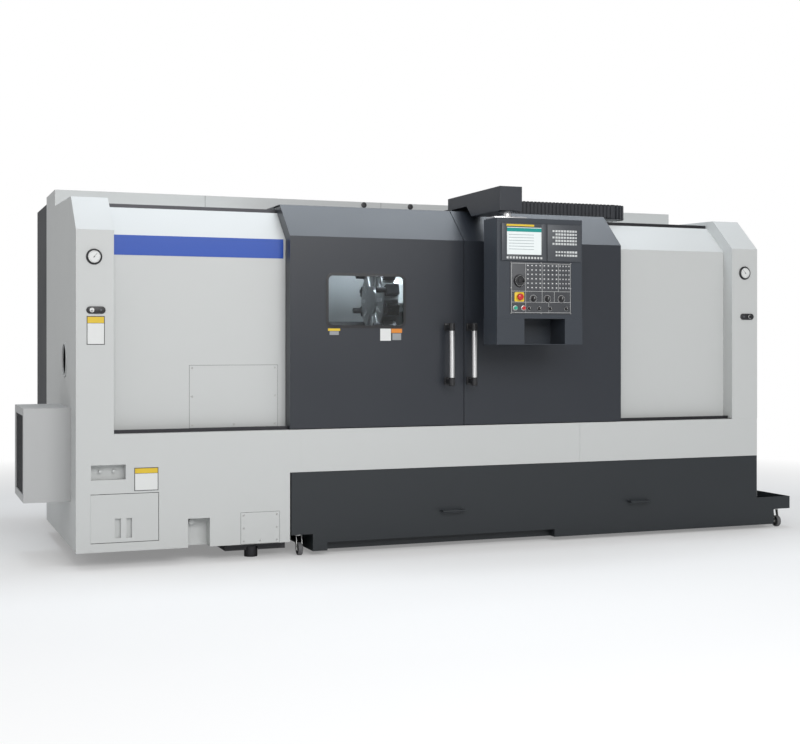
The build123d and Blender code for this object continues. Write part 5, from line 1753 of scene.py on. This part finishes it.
@dataclass
class TopTrim:
    """Grommets and seams of the rear cover and the rear wall, and a lamp inside the chamber."""

    grommets: tuple[tuple[float, float], ...] = ((2.029, 2.175), (2.365, 2.175))
    grommet: Profile = (
        (0.019, 0.0), (0.019, 0.003), (0.016, 0.005), (0.010, 0.005), (0.009, 0.002), (0.0, 0.002),
    )
    cover_depth: float = 1.011
    cover_seams: tuple[float, ...] = (0.942, 2.150, 3.300)
    cover_z: tuple[float, float] = (2.030, 2.194)
    cover_seam: float = 0.002
    rear_depth: float = 1.493
    rear_seams: tuple[float, ...] = (1.300, 2.080, 2.860, 3.640)
    rear_z: tuple[float, float] = (0.095, 2.190)
    rear_seam: float = 0.0025
    raised: float = 0.0003
    screw_rows: tuple[float, ...] = (0.15, 0.62, 1.10, 1.58, 2.05)
    screw_shifts: tuple[float, float] = (-0.020, 0.022)
    screw_radius: float = 0.006

    def cover(self) -> None:
        """Builds the grommets and seams on the front of the rear cover."""
        piece = Workpiece("cover_grommets")
        for x, z in self.grommets:
            piece.revolve(self.grommet, at(x, self.cover_depth, z), Facing.FRONT, Finish.BLACK_PLASTIC, 28)
        for x in self.cover_seams:
            low = at(x, self.cover_depth - self.raised, self.cover_z[0])
            piece.box(low, at(x + self.cover_seam, self.cover_depth, self.cover_z[1]), Finish.DARK_FIELD)
        piece.finish("machine")

    def rear(self) -> None:
        """Builds the seams and screws of the rear wall."""
        piece = Workpiece("rear_seams")
        back = self.rear_depth
        for x in self.rear_seams:
            high = at(x + self.rear_seam, back + self.raised, self.rear_z[1])
            piece.box(at(x, back, self.rear_z[0]), high, Finish.DARK_FIELD)
        sides = [x + shift for x in self.rear_seams for shift in self.screw_shifts]
        # The half turn about Z changes the sign of the lengths
        points = [(-at(x, 0, 0).x, z, 0.0) for x in sides for z in self.screw_rows]
        turn = Matrix.Translation((0, FRONT_PLANE + back, 0)) @ Matrix.Rotation(math.pi, 4, "Z")
        turn = turn @ Matrix.Rotation(math.pi / 2, 4, "X")
        piece.add_mesh(screws_mesh(points, self.screw_radius, Finish.ZINC), Finish.ZINC, turn)
        piece.finish("machine")

    def lamp(self) -> None:
        """Builds the lamp under the chamber's roof."""
        piece = Workpiece("chamber_lamp")
        piece.box(at(1.40, 0.52, 2.000), at(3.30, 0.56, 2.020), Finish.ALUMINIUM, 0.003)
        piece.box(at(1.42, 0.525, 1.994), at(3.28, 0.555, 2.001), Finish.LAMP, 0.002)
        piece.finish("machine")

    def build(self) -> None:
        """Builds the trim."""
        self.cover()
        self.rear()
        self.lamp()


@dataclass
class TurretFace:
    """Bright hub and wedges on the turret disc's left face."""

    x: float = 1.985
    depth: float = 0.7235
    z: float = 1.5213
    hub: float = 0.085
    wedges: int = 12
    ring: float = 0.140
    wedge: Point = (0.080, 0.022, 0.006)

    def build(self) -> None:
        """Builds the face."""
        piece = Workpiece("turret_face")
        place = at(self.x, self.depth, self.z)
        profile = [(self.hub, 0.0), (self.hub, 0.006), (self.hub * 0.94, 0.009), (self.hub * 0.3, 0.010)]
        profile += [(self.hub * 0.27, 0.008), (0.0, 0.008)]
        piece.revolve(profile, place, Facing.LEFT, Finish.ALUMINIUM, 48)
        wedges = ring_mesh(self.wedges, self.ring, self.wedge, Finish.ALUMINIUM)
        middle = place + Vector((-self.wedge[2] / 2, 0, 0))
        piece.add_mesh(wedges, Finish.ALUMINIUM, Facing.LEFT.matrix(middle))
        piece.finish("turret")


@dataclass
class FingerCups:
    """Pressed cups behind the two slots of the service door."""

    slots: tuple[tuple[float, float], ...] = ((0.212, 0.244), (0.275, 0.305))
    z: tuple[float, float] = (0.164, 0.272)
    deep: float = 0.020
    wall: float = 0.0015
    front: float = 0.003

    def build(self) -> None:
        """Builds the cups."""
        piece = Workpiece("finger_cups")
        low, high = self.z
        back, wall, front = self.deep, self.wall, self.front
        bottom, top = low - wall, high + wall
        for left, right in self.slots:
            piece.box(at(left - wall, back, bottom), at(right + wall, back + wall, top), Finish.LIGHT_PAINT)
            piece.box(at(left - wall, front, bottom), at(left, back, top), Finish.LIGHT_PAINT)
            piece.box(at(right, front, bottom), at(right + wall, back, top), Finish.LIGHT_PAINT)
            piece.box(at(left, front, bottom), at(right, back, low), Finish.LIGHT_PAINT)
            piece.box(at(left, front, high), at(right, back, top), Finish.LIGHT_PAINT)
        piece.finish("service_door")


@dataclass
class Studio:
    """Camera, lamps, world and floor."""

    camera_place: Point = (-3.1542, -8.180, 1.248)
    yaw: float = -21.03
    lens: float = 59.07
    sensor: float = 36.0
    shift: float = -0.037
    reach: float = 100.0
    ambient: float = 0.40
    gloss: float = 0.10
    floor_half: float = 30.0
    fade_start: float = 3.6
    fade_length: float = 3.0

    def camera(self) -> None:
        """Places the camera at the photograph's view."""
        data = bpy.data.cameras.new("camera")
        data.lens = self.lens
        data.sensor_width = self.sensor
        data.sensor_fit = "HORIZONTAL"
        data.shift_y = self.shift
        data.clip_end = self.reach
        holder = bpy.data.objects.new("camera", data)
        holder.location = self.camera_place
        holder.rotation_euler = (math.radians(90), 0.0, math.radians(self.yaw))
        bpy.context.scene.collection.objects.link(holder)
        bpy.context.scene.camera = holder

    def lamp(
        self, name: str, place: Point, target: Point, size: tuple[float, float], power: float,
        colour: Colour = (1.0, 1.0, 1.0),
    ) -> None:
        """Adds a soft area lamp.

        Args:
            name: Its name.
            place: Where it hangs.
            target: The point it faces.
            size: Its width and height.
            power: Its power in watts.
            colour: Its colour.
        """
        data = bpy.data.lights.new(name, "AREA")
        data.shape = "RECTANGLE"
        data.size, data.size_y = size
        data.energy = power
        data.color = colour
        holder = bpy.data.objects.new(name, data)
        holder.location = place
        holder.rotation_euler = (Vector(target) - Vector(place)).to_track_quat("-Z", "Y").to_euler()
        bpy.context.scene.collection.objects.link(holder)

    def world(self) -> None:
        """White surroundings for the camera, and softer ones for gloss and plain light."""
        world = bpy.data.worlds.new("studio")
        bpy.context.scene.world = world
        world.use_nodes = True
        tree = world.node_tree
        tree.nodes.clear()
        rays = add_node(tree, "ShaderNodeLightPath").outputs
        seen = Signal(tree, rays["Is Camera Ray"])
        seen = seen.maths("MAXIMUM", seen, Signal(tree, rays["Is Transmission Ray"]))
        strength = seen * (1 - self.ambient) + Signal(tree, rays["Is Glossy Ray"]) * self.gloss + self.ambient
        white = {"Color": (1.0, 1.0, 1.0, 1.0), "Strength": strength}
        background = add_node(tree, "ShaderNodeBackground", {}, white)
        add_node(tree, "ShaderNodeOutputWorld", {}, {"Surface": background.outputs[0]})

    def floor(self) -> None:
        """A pale floor that fades into the white surroundings."""
        shader = Shader("studio_floor")
        grain = shader.noise(3, 3)
        pale = shader.mix(grain * 0.1, (0.9, 0.9, 0.9), (0.86, 0.86, 0.86))
        diffuse = shader.node("ShaderNodeBsdfDiffuse", {}, {"Color": pale}).outputs[0]
        white = shader.node("ShaderNodeEmission", {}, {"Color": (1, 1, 1, 1), "Strength": 1.0}).outputs[0]
        length = shader.node("ShaderNodeVectorMath", {"operation": "LENGTH"}, {0: shader.coordinates})
        distance = Signal(shader.tree, length.outputs["Value"])
        far = ((distance - self.fade_start) / self.fade_length).clamped()
        fade = shader.node("ShaderNodeMixShader", {}, {0: far * 0.75 + 0.25, 1: diffuse, 2: white})
        camera_ray = shader.node("ShaderNodeLightPath").outputs["Is Camera Ray"]
        seen = shader.node("ShaderNodeMixShader", {}, {0: camera_ray, 1: diffuse, 2: fade.outputs[0]})
        half = self.floor_half
        corners = [(-half, -half, 0), (half, -half, 0), (half, half, 0), (-half, half, 0)]
        mesh = bpy.data.meshes.new("floor")
        mesh.from_pydata(corners, [], [(0, 1, 2, 3)])
        mesh.materials.append(shader.close(seen))
        floor = bpy.data.objects.new("floor", mesh)
        bpy.context.scene.collection.objects.link(floor)

    def build(self) -> None:
        """Sets the whole studio up."""
        bpy.context.scene.view_settings.view_transform = "Standard"
        self.camera()
        self.world()
        self.floor()
        self.lamp("overhead", (0.0, 0.2, 5.2), (0.0, -0.2, 0.0), (7.0, 1.6), 165.0, (0.84, 0.92, 1.0))
        self.lamp("front", (-0.6, -8.0, 4.2), (0.6, -0.5, 1.0), (7.0, 3.0), 345.0)
        self.lamp("left", (-7.0, -1.5, 3.0), (-1.0, 0.0, 1.0), (3.0, 3.0), 20.0)


def main() -> None:
    """Builds the studio and every piece."""
    logging.basicConfig(level=logging.INFO, format="%(name)s: %(message)s")
    Studio().build()
    NodeFinishes().dress()
    FrontPlates().build()
    left_gauge = PressureGauge("left_gauge", 0.098, 1.720).build()
    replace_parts(left_gauge, "pressure_gauges")
    PressureGauge("right_gauge", 4.362, 1.710, needle_angle=130).build()
    key_plate = SwitchPlate("key_plate", 0.108, 1.426, -1.0, True).build()
    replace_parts(key_plate, "oval_plates")
    SwitchPlate("knob_plate", 4.380, 1.419, 1.0, False).build()
    DoorHandle("left_door_handle", "left_door", 2.204).build()
    DoorHandle("right_door_handle", "right_door", 2.352).build()
    WindowTrim().build()
    Pendant().build()
    DragChain().build()
    CoolerFace().build()
    Caster("left", 1.290).build()
    Caster("right", 4.660).build()
    TopTrim().build()
    TurretFace().build()
    FingerCups().build()


if __name__ == "__main__":
    main()
